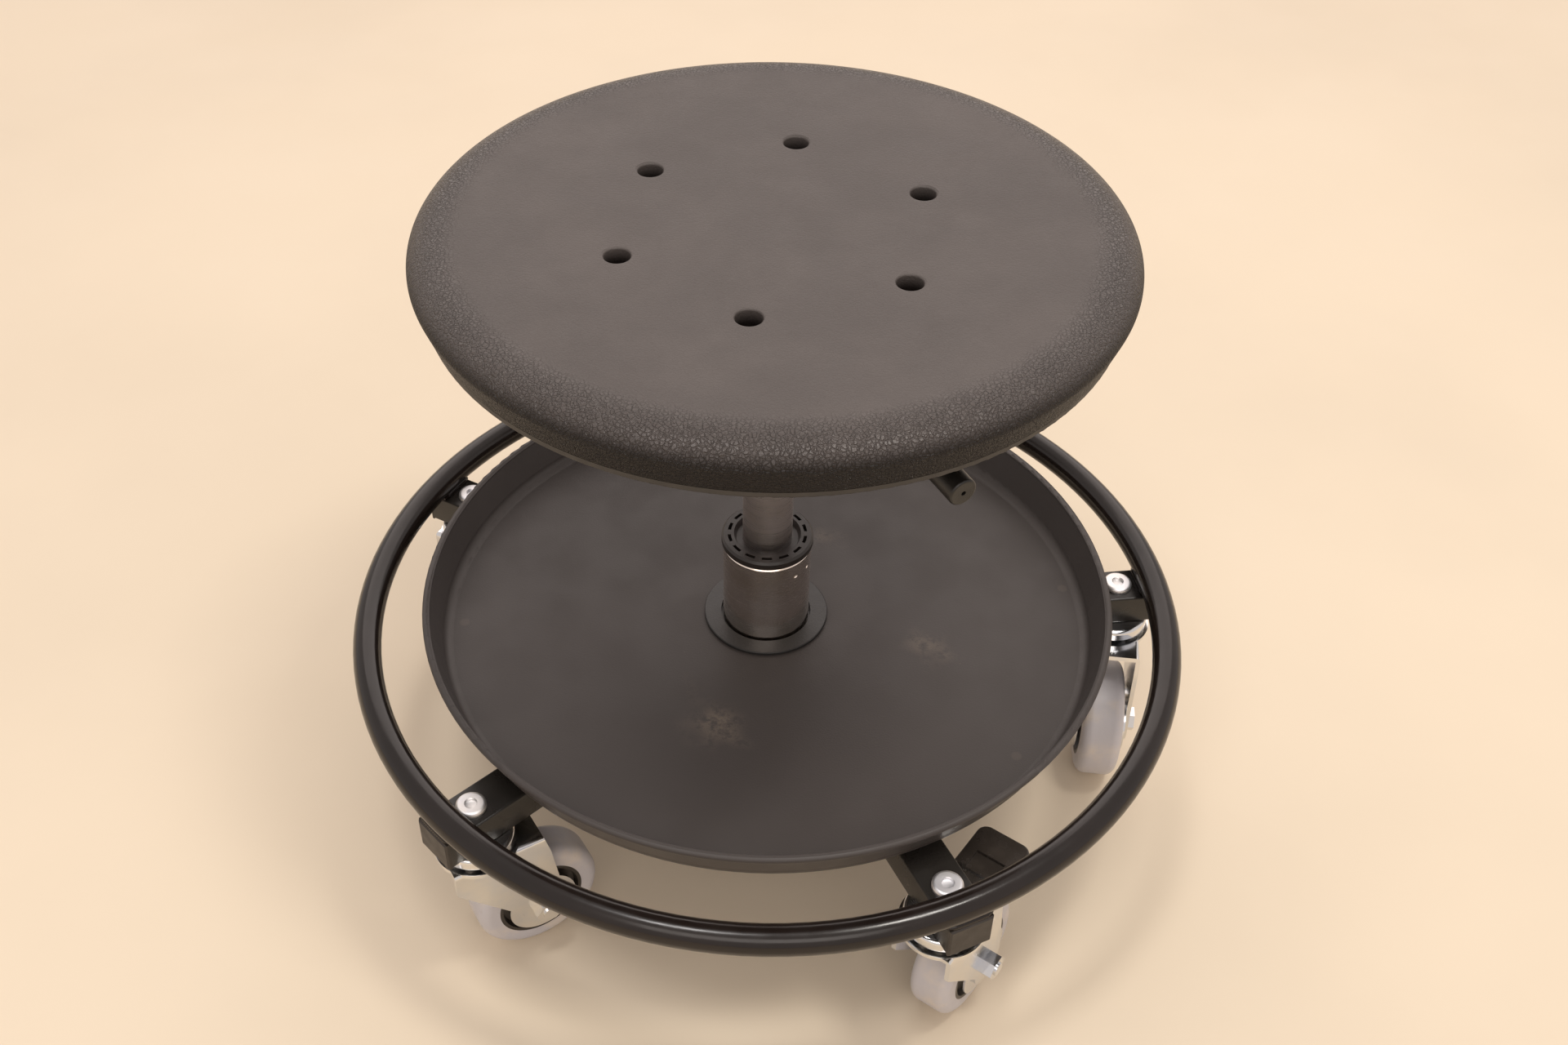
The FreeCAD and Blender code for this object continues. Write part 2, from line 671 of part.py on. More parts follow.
# ---- Seat mount ----------------------------------------------------------
def rounded_plate(side, corner, bottom, top):
    """Return a square plate with round corners, centred on the axis."""
    half = side / 2
    plate = block(-half, half, -half, half, bottom, top)
    return plate.makeFillet(corner, upright_edges(plate))


def screw_points():
    """Return the four screw centres of the mount plate, before it is turned."""
    half = SCREW_CIRCLE_SIDE / 2
    return [Vector(x, y, 0) for x in (-half, half) for y in (-half, half)]


def make_mount_plate():
    """Return the steel plate that the seat is screwed to."""
    plate = rounded_plate(PLATE_SIDE, PLATE_CORNER, PLATE_BOTTOM, PAN_BOTTOM)
    for point in screw_points():
        plate = plate.cut(disc(SCREW_DIAMETER / 2, PLATE_BOTTOM - 1, PAN_BOTTOM + 1, point))
    return placed(plate, LEVER_AZIMUTH)


def make_mount_channel():
    """Return the pressed channel that carries the socket and the lever."""
    half = CHANNEL_WIDTH / 2
    sheet = CHANNEL_SHEET
    shell = block(-CHANNEL_BACK, CHANNEL_FRONT, -half, half, CHANNEL_BOTTOM, PLATE_BOTTOM)
    bend = [e for e in along_x(shell) if e.CenterOfMass.z < CHANNEL_BOTTOM + NEAR]
    shell = shell.makeFillet(2 * sheet, bend)
    inside = half - sheet
    floor = CHANNEL_BOTTOM + sheet
    back = -CHANNEL_BACK - 1
    hollow = block(back, CHANNEL_FRONT + 1, -inside, inside, floor, PLATE_BOTTOM + 1)
    bend = [e for e in along_x(hollow) if e.CenterOfMass.z < floor + NEAR]
    hollow = hollow.makeFillet(sheet, bend)
    channel = shell.cut(hollow)
    channel = channel.cut(disc(SOCKET_DIAMETER / 2, CHANNEL_BOTTOM - 1, PLATE_BOTTOM - sheet))
    pivot_z = LEVER_Z - LEVER_PIVOT_DROP
    pin = across(LEVER_PIN_DIAMETER / 2, -half - 1, half + 1, LEVER_PIVOT_OUT, pivot_z)
    return placed(channel.cut(pin), LEVER_AZIMUTH)


def make_mount_socket():
    """Return the socket with the taper bore that the cylinder seats in."""
    outer = SOCKET_DIAMETER / 2
    taper_z = CYLINDER_TOP - TAPER_LENGTH
    wide = CYLINDER_DIAMETER / 2
    shrink = TAPER_DROP / 2 * (SOCKET_TOP - taper_z) / TAPER_LENGTH
    chamfer = SOCKET_CHAMFER
    edges = [
        line(wide, SOCKET_BOTTOM, outer - chamfer, SOCKET_BOTTOM),
        line(outer - chamfer, SOCKET_BOTTOM, outer, SOCKET_BOTTOM + chamfer),
        line(outer, SOCKET_BOTTOM + chamfer, outer, SOCKET_TOP),
        line(outer, SOCKET_TOP, wide - shrink, SOCKET_TOP),
        line(wide - shrink, SOCKET_TOP, wide, taper_z),
        line(wide, taper_z, wide, SOCKET_BOTTOM),
    ]
    return turned(edges)


def make_lever_pin():
    """Return the headed pivot pin of the lever with its peened tail."""
    half = CHANNEL_WIDTH / 2
    z = LEVER_Z - LEVER_PIVOT_DROP
    x = LEVER_PIVOT_OUT
    radius = LEVER_PIN_DIAMETER / 2
    shank = across(radius, -half - LEVER_PIN_TAIL - 0.5, half, x, z)
    head = across(radius + LEVER_PIN_HEAD_WIDTH, half, half + LEVER_PIN_HEAD, x, z)
    tail = across(radius + LEVER_PIN_TAIL_WIDTH, -half - LEVER_PIN_TAIL, -half, x, z)
    return placed(shank.fuse([head, tail]), LEVER_AZIMUTH)


def make_seat_screws():
    """Return the four flanged hexagon screws under the mount plate."""
    solids = []
    tip = PAD_BOTTOM + INSERT_DEPTH - SCREW_TIP_GAP
    flange_z = PLATE_BOTTOM - SCREW_FLANGE
    for point in screw_points():
        shank = disc(SCREW_DIAMETER / 2, PLATE_BOTTOM, tip, point)
        flange = disc(SCREW_DIAMETER, flange_z, PLATE_BOTTOM, point)
        head = hexagon(SCREW_HEX, PLATE_BOTTOM - SCREW_HEAD_HEIGHT, flange_z, point)
        solids.append(placed(shank.fuse([flange, head]), LEVER_AZIMUTH))
    return Part.makeCompound(solids)


def insert_outline(point):
    """Return the full outside of a threaded insert, collar and body."""
    radius = INSERT_DIAMETER / 2
    body = disc(radius, PAD_BOTTOM, PAD_BOTTOM + INSERT_DEPTH, point)
    collar_top = PAD_BOTTOM + INSERT_COLLAR_DEPTH
    return body.fuse(disc(radius + INSERT_COLLAR_WIDTH, PAD_BOTTOM, collar_top, point))


def make_seat_inserts():
    """Return the four threaded inserts moulded into the pad."""
    solids = []
    tip = PAD_BOTTOM + INSERT_DEPTH - SCREW_TIP_GAP
    for point in screw_points():
        bore = disc(SCREW_DIAMETER / 2, PAD_BOTTOM - 1, tip, point)
        solids.append(placed(insert_outline(point).cut(bore), LEVER_AZIMUTH))
    return Part.makeCompound(solids)


# ---- Seat ----------------------------------------------------------------
def vent_cutters(bottom, top):
    """Return the cutters of the six vent holes."""
    cutters = []
    for k in range(VENT_COUNT):
        centre = at(VENT_CIRCLE_RADIUS, VENT_FIRST_DEG + k * 360.0 / VENT_COUNT)
        cutters.append(disc(VENT_DIAMETER / 2, bottom, top, centre))
    return cutters


def make_seat_pan():
    """Return the thin pan under the pad, whose edge shows as a lip."""
    pan = disc(PAN_DIAMETER / 2, PAN_BOTTOM, PAD_BOTTOM)
    low = [e for e in pan.Edges if e.CenterOfMass.z < PAN_BOTTOM + NEAR]
    pan = pan.makeFillet(PAN_EDGE, low)
    pan = pan.cut(vent_cutters(PAN_BOTTOM - 1, PAD_BOTTOM + 1))
    holes = []
    for point in screw_points():
        hole = disc(SCREW_DIAMETER / 2, PAN_BOTTOM - 1, PAD_BOTTOM + 1, point)
        holes.append(placed(hole, LEVER_AZIMUTH))
    return pan.cut(holes)


def make_seat_pad():
    """Return the moulded pad: dished top, round shoulder, tapered side."""
    outer = SEAT_DIAMETER / 2
    top = SEAT_HEIGHT
    shoulder = SEAT_SHOULDER
    flat = outer - SEAT_SHOULDER_REACH * shoulder
    side_z = top - shoulder
    low = outer - SEAT_SIDE_TAPER
    knee_r = outer - 0.36 * shoulder
    knee_z = top - 0.24 * shoulder
    dish = SEAT_DISH
    edges = [
        line(0, PAD_BOTTOM, 0, top - dish),
        arc(0, top - dish, flat / 2, top - 0.75 * dish, flat, top),
        arc(flat, top, knee_r, knee_z, outer, side_z),
        line(outer, side_z, low, PAD_BOTTOM),
        line(low, PAD_BOTTOM, 0, PAD_BOTTOM),
    ]
    pad = turned(edges).cut(vent_cutters(PAD_BOTTOM - 1, top + 5))
    return pad.cut([placed(insert_outline(point), LEVER_AZIMUTH) for point in screw_points()])


# ---- Height lever --------------------------------------------------------
def lever_bar(radius, start, end):
    """Return a round bar along the lever rod's sloping axis."""
    a = Vector(start, 0, lever_rod_height(start))
    b = Vector(end, 0, lever_rod_height(end))
    run = b.sub(a)
    return Part.makeCylinder(radius, run.Length, a, run)


def make_lever_arm():
    """Return the bent-up rod and the pivot boss welded under it."""
    grip_start = LEVER_REACH - GRIP_LENGTH
    rod = lever_bar(LEVER_ROD_DIAMETER / 2, -LEVER_INNER, grip_start + GRIP_SOCKET_DEPTH)
    pivot_z = LEVER_Z - LEVER_PIVOT_DROP
    pivot_x = LEVER_PIVOT_OUT
    reach = CHANNEL_WIDTH / 2 - CHANNEL_SHEET - LEVER_BOSS_SIDE_GAP
    boss = across(LEVER_BOSS_DIAMETER / 2, -reach, reach, pivot_x, pivot_z)
    along = LEVER_WEB_LENGTH / 2
    thick = LEVER_WEB_THICKNESS / 2
    web_top = lever_rod_height(pivot_x)
    web = block(pivot_x - along, pivot_x + along, -thick, thick, pivot_z, web_top)
    bore = LEVER_PIN_DIAMETER / 2 + RUNNING_GAP
    hole = across(bore, -reach - 1, reach + 1, pivot_x, pivot_z)
    return placed(rod.fuse([boss, web]).cut(hole), LEVER_AZIMUTH)


def make_lever_grip():
    """Return the plastic grip with a small pip hole in its end."""
    start = LEVER_REACH - GRIP_LENGTH
    grip = lever_bar(GRIP_DIAMETER / 2, start, LEVER_REACH)
    rim = [e for e in grip.Edges if hasattr(e.Curve, "Radius")]
    grip = grip.makeFillet(GRIP_EDGE, rim)
    grip = grip.cut(lever_bar(LEVER_ROD_DIAMETER / 2, start - 1, start + GRIP_SOCKET_DEPTH))
    pip = lever_bar(GRIP_PIP_DIAMETER / 2, LEVER_REACH - GRIP_PIP_DEPTH, LEVER_REACH + 1)
    return placed(grip.cut(pip), LEVER_AZIMUTH)


# ---- Castor pieces, built about their own swivel axis ---------------------
def make_castor_bolt():
    """Return the flanged button-head screw that holds a castor on."""
    flange_top = ARM_TOP + BOLT_FLANGE
    top = flange_top + BOLT_HEAD_HEIGHT
    flange = disc(BOLT_FLANGE_DIAMETER / 2, ARM_TOP, flange_top)
    dome = disc(BOLT_HEAD_DIAMETER / 2, flange_top, top)
    rim = [e for e in dome.Edges if e.CenterOfMass.z > top - NEAR]
    dome = dome.makeFillet(BOLT_HEAD_ROUND, rim)
    socket = hexagon(BOLT_SOCKET_HEX, flange_top + BOLT_SOCKET_FLOOR, top + 1)
    shank = disc(STEM_DIAMETER / 2, STEM_NUT_TOP - STEM_NUT_HEIGHT - STEM_TAIL, ARM_TOP)
    return flange.fuse([dome, shank]).cut(socket)


def make_castor_race():
    """Return the fixed bearing cap and sleeve under an arm."""
    radius = RACE_DIAMETER / 2
    cap = disc(radius, RACE_BOTTOM, CASTOR_HEIGHT)
    high = [e for e in cap.Edges if e.CenterOfMass.z > CASTOR_HEIGHT - NEAR]
    cap = cap.makeFillet(0.6 * RACE_THICKNESS, high)
    rim = ring(radius, radius - RACE_WALL, RACE_BOTTOM - RACE_RIM, RACE_BOTTOM + 1)
    sleeve = disc(KING_SLEEVE_DIAMETER / 2, STEM_NUT_TOP, RACE_BOTTOM + 1)
    bore = disc(STEM_DIAMETER / 2, STEM_NUT_TOP - 1, CASTOR_HEIGHT + 1)
    return cap.fuse([rim, sleeve]).cut(bore)


def make_castor_balls():
    """Return the ring of balls between the cap and the fork head."""
    radius = CASTOR_BALL_DIAMETER / 2 - BALL_GAP
    middle = FORK_HEAD_TOP + CASTOR_BALL_DIAMETER / 2
    solids = []
    for k in range(CASTOR_BALLS):
        centre = at(CASTOR_BALL_CIRCLE / 2, k * 360.0 / CASTOR_BALLS, middle)
        solids.append(Part.makeSphere(radius, centre))
    return solids


def make_castor_nut():
    """Return the flanged nut that clamps the sleeve from below."""
    flange_z = STEM_NUT_TOP - STEM_NUT_FLANGE
    low = STEM_NUT_TOP - STEM_NUT_HEIGHT
    flange = ring(STEM_NUT_FLANGE_DIAMETER / 2, STEM_DIAMETER / 2, flange_z, STEM_NUT_TOP)
    body = hexagon(STEM_NUT_HEX, low, flange_z)
    bore = disc(STEM_DIAMETER / 2, low - 1, STEM_NUT_TOP)
    return flange.fuse(body.cut(bore))


def fork_half_gap():
    """Return the distance from the wheel's middle plane to a fork leg."""
    return WHEEL_WIDTH / 2 + HUB_STANDS_OUT + HUB_SIDE_GAP + GUARD_THICKNESS


def fork_side_outline():
    """Return the wire of a fork leg seen from the side, at Y = 0."""
    lobe = FORK_LOBE
    slant = lobe * math.sqrt(0.5)
    x = CASTOR_TRAIL
    back = FORK_HEAD_DIAMETER / 2 - FORK_FRONT_INSET
    rear = x + FORK_REAR_PAST_AXLE
    front = Vector(x - lobe, 0, AXLE_Z)
    foot = Vector(x, 0, AXLE_Z - lobe)
    heel = Vector(x + lobe, 0, AXLE_Z)
    mid_a = Vector(x - slant, 0, AXLE_Z - slant)
    mid_b = Vector(x + slant, 0, AXLE_Z - slant)
    top_front = Vector(-back, 0, FORK_HEAD_TOP)
    top_rear = Vector(rear, 0, FORK_HEAD_TOP)
    front_knee = Vector(-back, 0, FORK_HEAD_TOP - FORK_SHOULDER)
    rear_knee = Vector(rear + FORK_REAR_FLARE, 0, FORK_HEAD_TOP - FORK_REAR_SHOULDER)
    edges = [
        Part.makeLine(top_front, top_rear),
        Part.makeLine(top_rear, rear_knee),
        Part.makeLine(rear_knee, heel),
        Part.Arc(heel, mid_b, foot).toShape(),
        Part.Arc(foot, mid_a, front).toShape(),
        Part.makeLine(front, front_knee),
        Part.makeLine(front_knee, top_front),
    ]
    return Part.Wire(edges)


def make_fork(braked):
    """Return a pressed fork: round head, two legs and their bends."""
    gap = fork_half_gap()
    sheet = FORK_SHEET
    side = Part.Face(fork_side_outline())
    outer = side.copy()
    outer.translate(Vector(0, -gap - sheet, 0))
    legs = outer.extrude(Vector(0, 2 * (gap + sheet), 0))
    bends = [e for e in along_x(legs) if e.CenterOfMass.z > FORK_HEAD_TOP - NEAR]
    legs = legs.makeFillet(sheet, bends)
    reach = CASTOR_TRAIL + FORK_HEAD_DIAMETER
    legs = legs.cut(block(-reach, reach, -gap, gap, -1, FORK_HEAD_BOTTOM))
    head = disc(FORK_HEAD_DIAMETER / 2, FORK_HEAD_BOTTOM, FORK_HEAD_TOP)
    cup = disc(FORK_CUP_DIAMETER / 2, STEM_NUT_TOP + FORK_CUP_GAP, FORK_HEAD_TOP)
    fork = legs.fuse([head, cup])
    hole = KING_SLEEVE_DIAMETER / 2 + KING_SLEEVE_GAP
    fork = fork.cut(disc(hole, STEM_NUT_TOP - 1, FORK_HEAD_TOP + 1))
    outside = gap + sheet + 1
    fork = fork.cut(across(AXLE_DIAMETER / 2, -outside, outside, CASTOR_TRAIL, AXLE_Z))
    if braked:
        radius = BRAKE_PIN_DIAMETER / 2
        fork = fork.cut(across(radius, -outside, outside, BRAKE_PIVOT_X, brake_pivot_z()))
        low = FORK_HEAD_BOTTOM - 1
        high = FORK_HEAD_TOP + 1
        fork = fork.cut(block(BRAKE_PIVOT_X, BRAKE_PLATE_END, -gap, gap, low, high))
    return fork


def make_axle_set():
    """Return the axle bolt, its lock nut and the two thread guards."""
    gap = fork_half_gap()
    outside = gap + FORK_SHEET
    radius = AXLE_DIAMETER / 2
    x = CASTOR_TRAIL
    shank = across(radius, -outside - AXLE_NUT_HEIGHT - AXLE_TAIL, outside, x, AXLE_Z)
    head = hexagon(AXLE_HEX, 0, AXLE_HEAD_HEIGHT)
    head.rotate(Vector(0, 0, 0), Vector(1, 0, 0), -90)
    head.translate(Vector(x, outside, AXLE_Z))
    nut = hexagon(AXLE_HEX, 0, AXLE_NUT_HEIGHT)
    nut.rotate(Vector(0, 0, 0), Vector(1, 0, 0), 90)
    nut.translate(Vector(x, -outside, AXLE_Z))
    nut = nut.cut(across(radius, -outside - AXLE_NUT_HEIGHT - 1, 0, x, AXLE_Z))
    solids = [shank.fuse(head), nut]
    for side in (-1, 1):
        y0 = min(side * gap, side * (gap - GUARD_THICKNESS))
        plate = across(GUARD_DIAMETER / 2, y0, y0 + GUARD_THICKNESS, x, AXLE_Z)
        solids.append(plate.cut(across(radius, y0 - 1, y0 + GUARD_THICKNESS + 1, x, AXLE_Z)))
    return solids


def lie_down(shape):
    """Return a shape turned about Z as a wheel of the castor."""
    wheel = shape.copy()
    wheel.rotate(Vector(0, 0, 0), Vector(1, 0, 0), 90)
    wheel.translate(Vector(CASTOR_TRAIL, 0, AXLE_Z))
    return wheel


def make_tyre():
    """Return the grey rubber tyre with its round shoulders."""
    half = WHEEL_WIDTH / 2
    inner = CORE_DIAMETER / 2
    outer = WHEEL_RADIUS
    shoulder = TYRE_SHOULDER
    knee = shoulder * (1 - math.sqrt(0.5))
    edges = [
        line(inner, -half, outer - shoulder, -half),
        arc(outer - shoulder, -half, outer - knee, -half + knee, outer, -half + shoulder),
        line(outer, -half + shoulder, outer, half - shoulder),
        arc(outer, half - shoulder, outer - knee, half - knee, outer - shoulder, half),
        line(outer - shoulder, half, inner, half),
        line(inner, half, inner, -half),
    ]
    return lie_down(turned(edges))


def make_wheel_core():
    """Return the moulded wheel centre: rim, recessed web and bored hub."""
    half = WHEEL_WIDTH / 2
    rim = CORE_DIAMETER / 2
    hub = HUB_DIAMETER / 2
    bore = AXLE_DIAMETER / 2 + RUNNING_GAP
    web = half - CORE_RECESS
    hub_half = half + HUB_STANDS_OUT
    root = rim - CORE_RIM
    lip = rim - CORE_RIM * 2 / 3
    edges = [
        line(bore, -hub_half, hub, -hub_half),
        line(hub, -hub_half, hub, -web),
        line(hub, -web, root, -web),
        line(root, -web, lip, -half),
        line(lip, -half, rim, -half),
        line(rim, -half, rim, half),
        line(rim, half, lip, half),
        line(lip, half, root, web),
        line(root, web, hub, web),
        line(hub, web, hub, hub_half),
        line(hub, hub_half, bore, hub_half),
        line(bore, hub_half, bore, -hub_half),
    ]
    return lie_down(turned(edges))


def brake_pivot_z():
    """Return the height of the brake pedal's pivot."""
    return FORK_HEAD_BOTTOM - BRAKE_PIVOT_DROP


def make_brake_pin():
    """Return the pin that the brake lever turns on."""
    reach = fork_half_gap() + FORK_SHEET
    z = brake_pivot_z()
    radius = BRAKE_PIN_DIAMETER / 2
    shank = across(radius, -reach, reach, BRAKE_PIVOT_X, z)
    heads = []
    for y0 in (-reach - BRAKE_PIN_HEAD, reach):
        heads.append(across(1.5 * radius, y0, y0 + BRAKE_PIN_HEAD, BRAKE_PIVOT_X, z))
    return shank.fuse(heads)


def make_brake_lever():
    """Return the steel brake lever with its shoe over the tyre."""
    z = brake_pivot_z()
    half = fork_half_gap() - BRAKE_SIDE_GAP
    eye = across(BRAKE_EYE_DIAMETER / 2, -half, half, BRAKE_PIVOT_X, z)
    low = z + BRAKE_PLATE_ABOVE_PIVOT
    high = low + BRAKE_PLATE
    plate = block(BRAKE_PIVOT_X, BRAKE_PLATE_END, -half, half, low, high)
    foot = WHEEL_DIAMETER + BRAKE_SHOE_GAP
    inside = half - BRAKE_SHOE_INSET
    shoe = block(BRAKE_SHOE_START, BRAKE_SHOE_END, -inside, inside, foot, low)
    lever = plate.fuse([eye, shoe])
    bore = across(BRAKE_PIN_DIAMETER / 2 + RUNNING_GAP, -half - 1, half + 1, BRAKE_PIVOT_X, z)
    return lever.cut(bore)


def make_brake_pedal():
    """Return the plastic foot pad moulded over the brake lever's end."""
    plate_z = brake_pivot_z() + BRAKE_PLATE_ABOVE_PIVOT
    start = PEDAL_START
    end = start + PEDAL_LENGTH
    half = PEDAL_WIDTH / 2
    low = plate_z - PEDAL_BELOW_PLATE
    top = low + PEDAL_THICKNESS
    pad = block(start, end, -half, half, low, top)
    corners = [e for e in upright_edges(pad) if e.CenterOfMass.x > end - NEAR]
    pad = pad.makeFillet(PEDAL_CORNER, corners)
    top_rim = [e for e in pad.Edges if e.CenterOfMass.z > top - NEAR]
    pad = pad.makeFillet(PEDAL_EDGE, top_rim)
    step_z = plate_z + BRAKE_PLATE + PEDAL_STEP_ABOVE_PLATE
    cheek = half - PEDAL_STEP_CHEEK
    step = block(start - 1, start + PEDAL_STEP_LENGTH, -cheek, cheek, step_z, top + 1)
    inside = fork_half_gap() - BRAKE_SIDE_GAP
    plate_top = plate_z + BRAKE_PLATE
    slot = block(start - 1, BRAKE_PLATE_END, -inside, inside, plate_z, plate_top)
    return pad.cut([step, slot])


def to_castor(shape, index):
    """Return a castor piece turned to its heading and put under its arm."""
    return placed(shape, CASTOR_HEADINGS[index - 1], castor_pivot(index))


def group_at_castors(make_solids):
    """Return one group that holds a fixed piece for every castor."""
    solids = []
    for index in every_castor():
        for solid in make_solids:
            solids.append(placed(solid, arm_azimuth(index), castor_pivot(index)))
    return Part.makeCompound(solids)


def save_castor(index):
    """Write the fork, axle set, tyre and core of one castor."""
    name = "castor_%d_" % index
    braked = index == BRAKED_CASTOR
    save(name + "fork", to_castor(make_fork(braked), index))
    axle = [to_castor(solid, index) for solid in make_axle_set()]
    save(name + "axle_set", Part.makeCompound(axle))
    save(name + "tyre", to_castor(make_tyre(), index))
    save(name + "wheel_core", to_castor(make_wheel_core(), index))


def build():
    """Write every piece of the stool."""
    os.makedirs(PARTS, exist_ok=True)
    save("base_hub", make_hub())
    for index in every_castor():
        save("base_arm_%d" % index, make_arm(index))
        save_castor(index)
    save("arm_end_caps", make_end_caps())
    save("foot_ring", make_foot_ring())
    save("tool_tray", make_tray())
    save("tray_centre_ring", make_tray_ring())
    save("column_tube", make_column_tube())
    save("guide_bush", make_guide_bush())
    save("thrust_race_lower", make_lower_race())
    save("thrust_balls", make_thrust_balls())
    save("thrust_race_upper", make_upper_race())
    save("piston_rod", make_piston_rod())
    save("rod_clip", make_rod_clip())
    save("rod_buffer", make_buffer())
    save("piston", make_piston())
    save("gas_cylinder", make_gas_cylinder())
    save("rod_guide", make_rod_guide())
    save("valve_body", make_valve_body())
    save("valve_pin", make_valve_pin())
    save("seat_mount_plate", make_mount_plate())
    save("seat_mount_channel", make_mount_channel())
    save("seat_mount_socket", make_mount_socket())
    save("seat_screws", make_seat_screws())
    save("seat_inserts", make_seat_inserts())
    save("seat_pan", make_seat_pan())
    save("seat_pad", make_seat_pad())
    save("lever_pivot_pin", make_lever_pin())
    save("lever_arm", make_lever_arm())
    save("lever_grip", make_lever_grip())
    save("castor_bolts", group_at_castors([make_castor_bolt()]))
    save("castor_caps", group_at_castors([make_castor_race()]))
    save("castor_balls", group_at_castors(make_castor_balls()))
    save("castor_nuts", group_at_castors([make_castor_nut()]))
    save("brake_pin", to_castor(make_brake_pin(), BRAKED_CASTOR))
    save("brake_lever", to_castor(make_brake_lever(), BRAKED_CASTOR))
    save("brake_pedal", to_castor(make_brake_pedal(), BRAKED_CASTOR))


build()
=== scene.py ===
"""Looks of an adjustable swivel stool: moulded round seat, gas lift, tool tray, foot ring and castors.

Every length is in metres.  The origin is on the floor under the column, and +Z is up.
"""

import logging
import math
from dataclasses import Field, dataclass, field
from enum import Enum

import bmesh
import bpy
from mathutils import Matrix, Vector


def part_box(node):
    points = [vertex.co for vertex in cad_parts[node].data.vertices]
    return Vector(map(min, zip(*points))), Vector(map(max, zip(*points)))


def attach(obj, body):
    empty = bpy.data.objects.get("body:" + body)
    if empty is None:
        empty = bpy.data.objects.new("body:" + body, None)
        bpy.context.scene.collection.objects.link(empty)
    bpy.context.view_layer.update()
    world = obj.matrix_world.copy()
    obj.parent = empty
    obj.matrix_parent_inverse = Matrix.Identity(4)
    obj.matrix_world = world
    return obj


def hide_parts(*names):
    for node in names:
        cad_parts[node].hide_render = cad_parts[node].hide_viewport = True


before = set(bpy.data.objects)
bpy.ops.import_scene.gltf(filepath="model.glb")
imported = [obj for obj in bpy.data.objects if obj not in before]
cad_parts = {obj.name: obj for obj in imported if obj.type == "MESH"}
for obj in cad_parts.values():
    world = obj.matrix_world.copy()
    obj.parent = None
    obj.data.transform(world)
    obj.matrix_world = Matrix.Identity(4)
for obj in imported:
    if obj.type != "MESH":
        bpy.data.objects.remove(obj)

LOG = logging.getLogger("stool")
Colour = tuple[float, float, float]
Socket = bpy.types.NodeSocket
CASTORS = range(1, 6)


# ---- Helpers ---------------------------------------------------------------
def polar(radius: float, degrees: float, z: float = 0.0) -> Vector:
    """Return a point at a radius and azimuth about the column.

    Args:
        radius: Distance from the column's axis.
        degrees: Azimuth from +X towards +Y.
        z: Height.

    Returns:
        The point.
    """
    angle = math.radians(degrees)
    return Vector((radius * math.cos(angle), radius * math.sin(angle), z))


def centre_of(node: str) -> Vector:
    """Return the middle of a CAD node's box."""
    low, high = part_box(node)
    return (low + high) / 2


def azimuth_of(node: str) -> float:
    """Return the azimuth of a CAD node's middle about the column, in degrees."""
    middle = centre_of(node)
    return math.degrees(math.atan2(middle.y, middle.x))


class Body(Enum):
    """The bodies of the frame that new pieces ride on."""

    BASE = "base"
    SEAT = "seat"


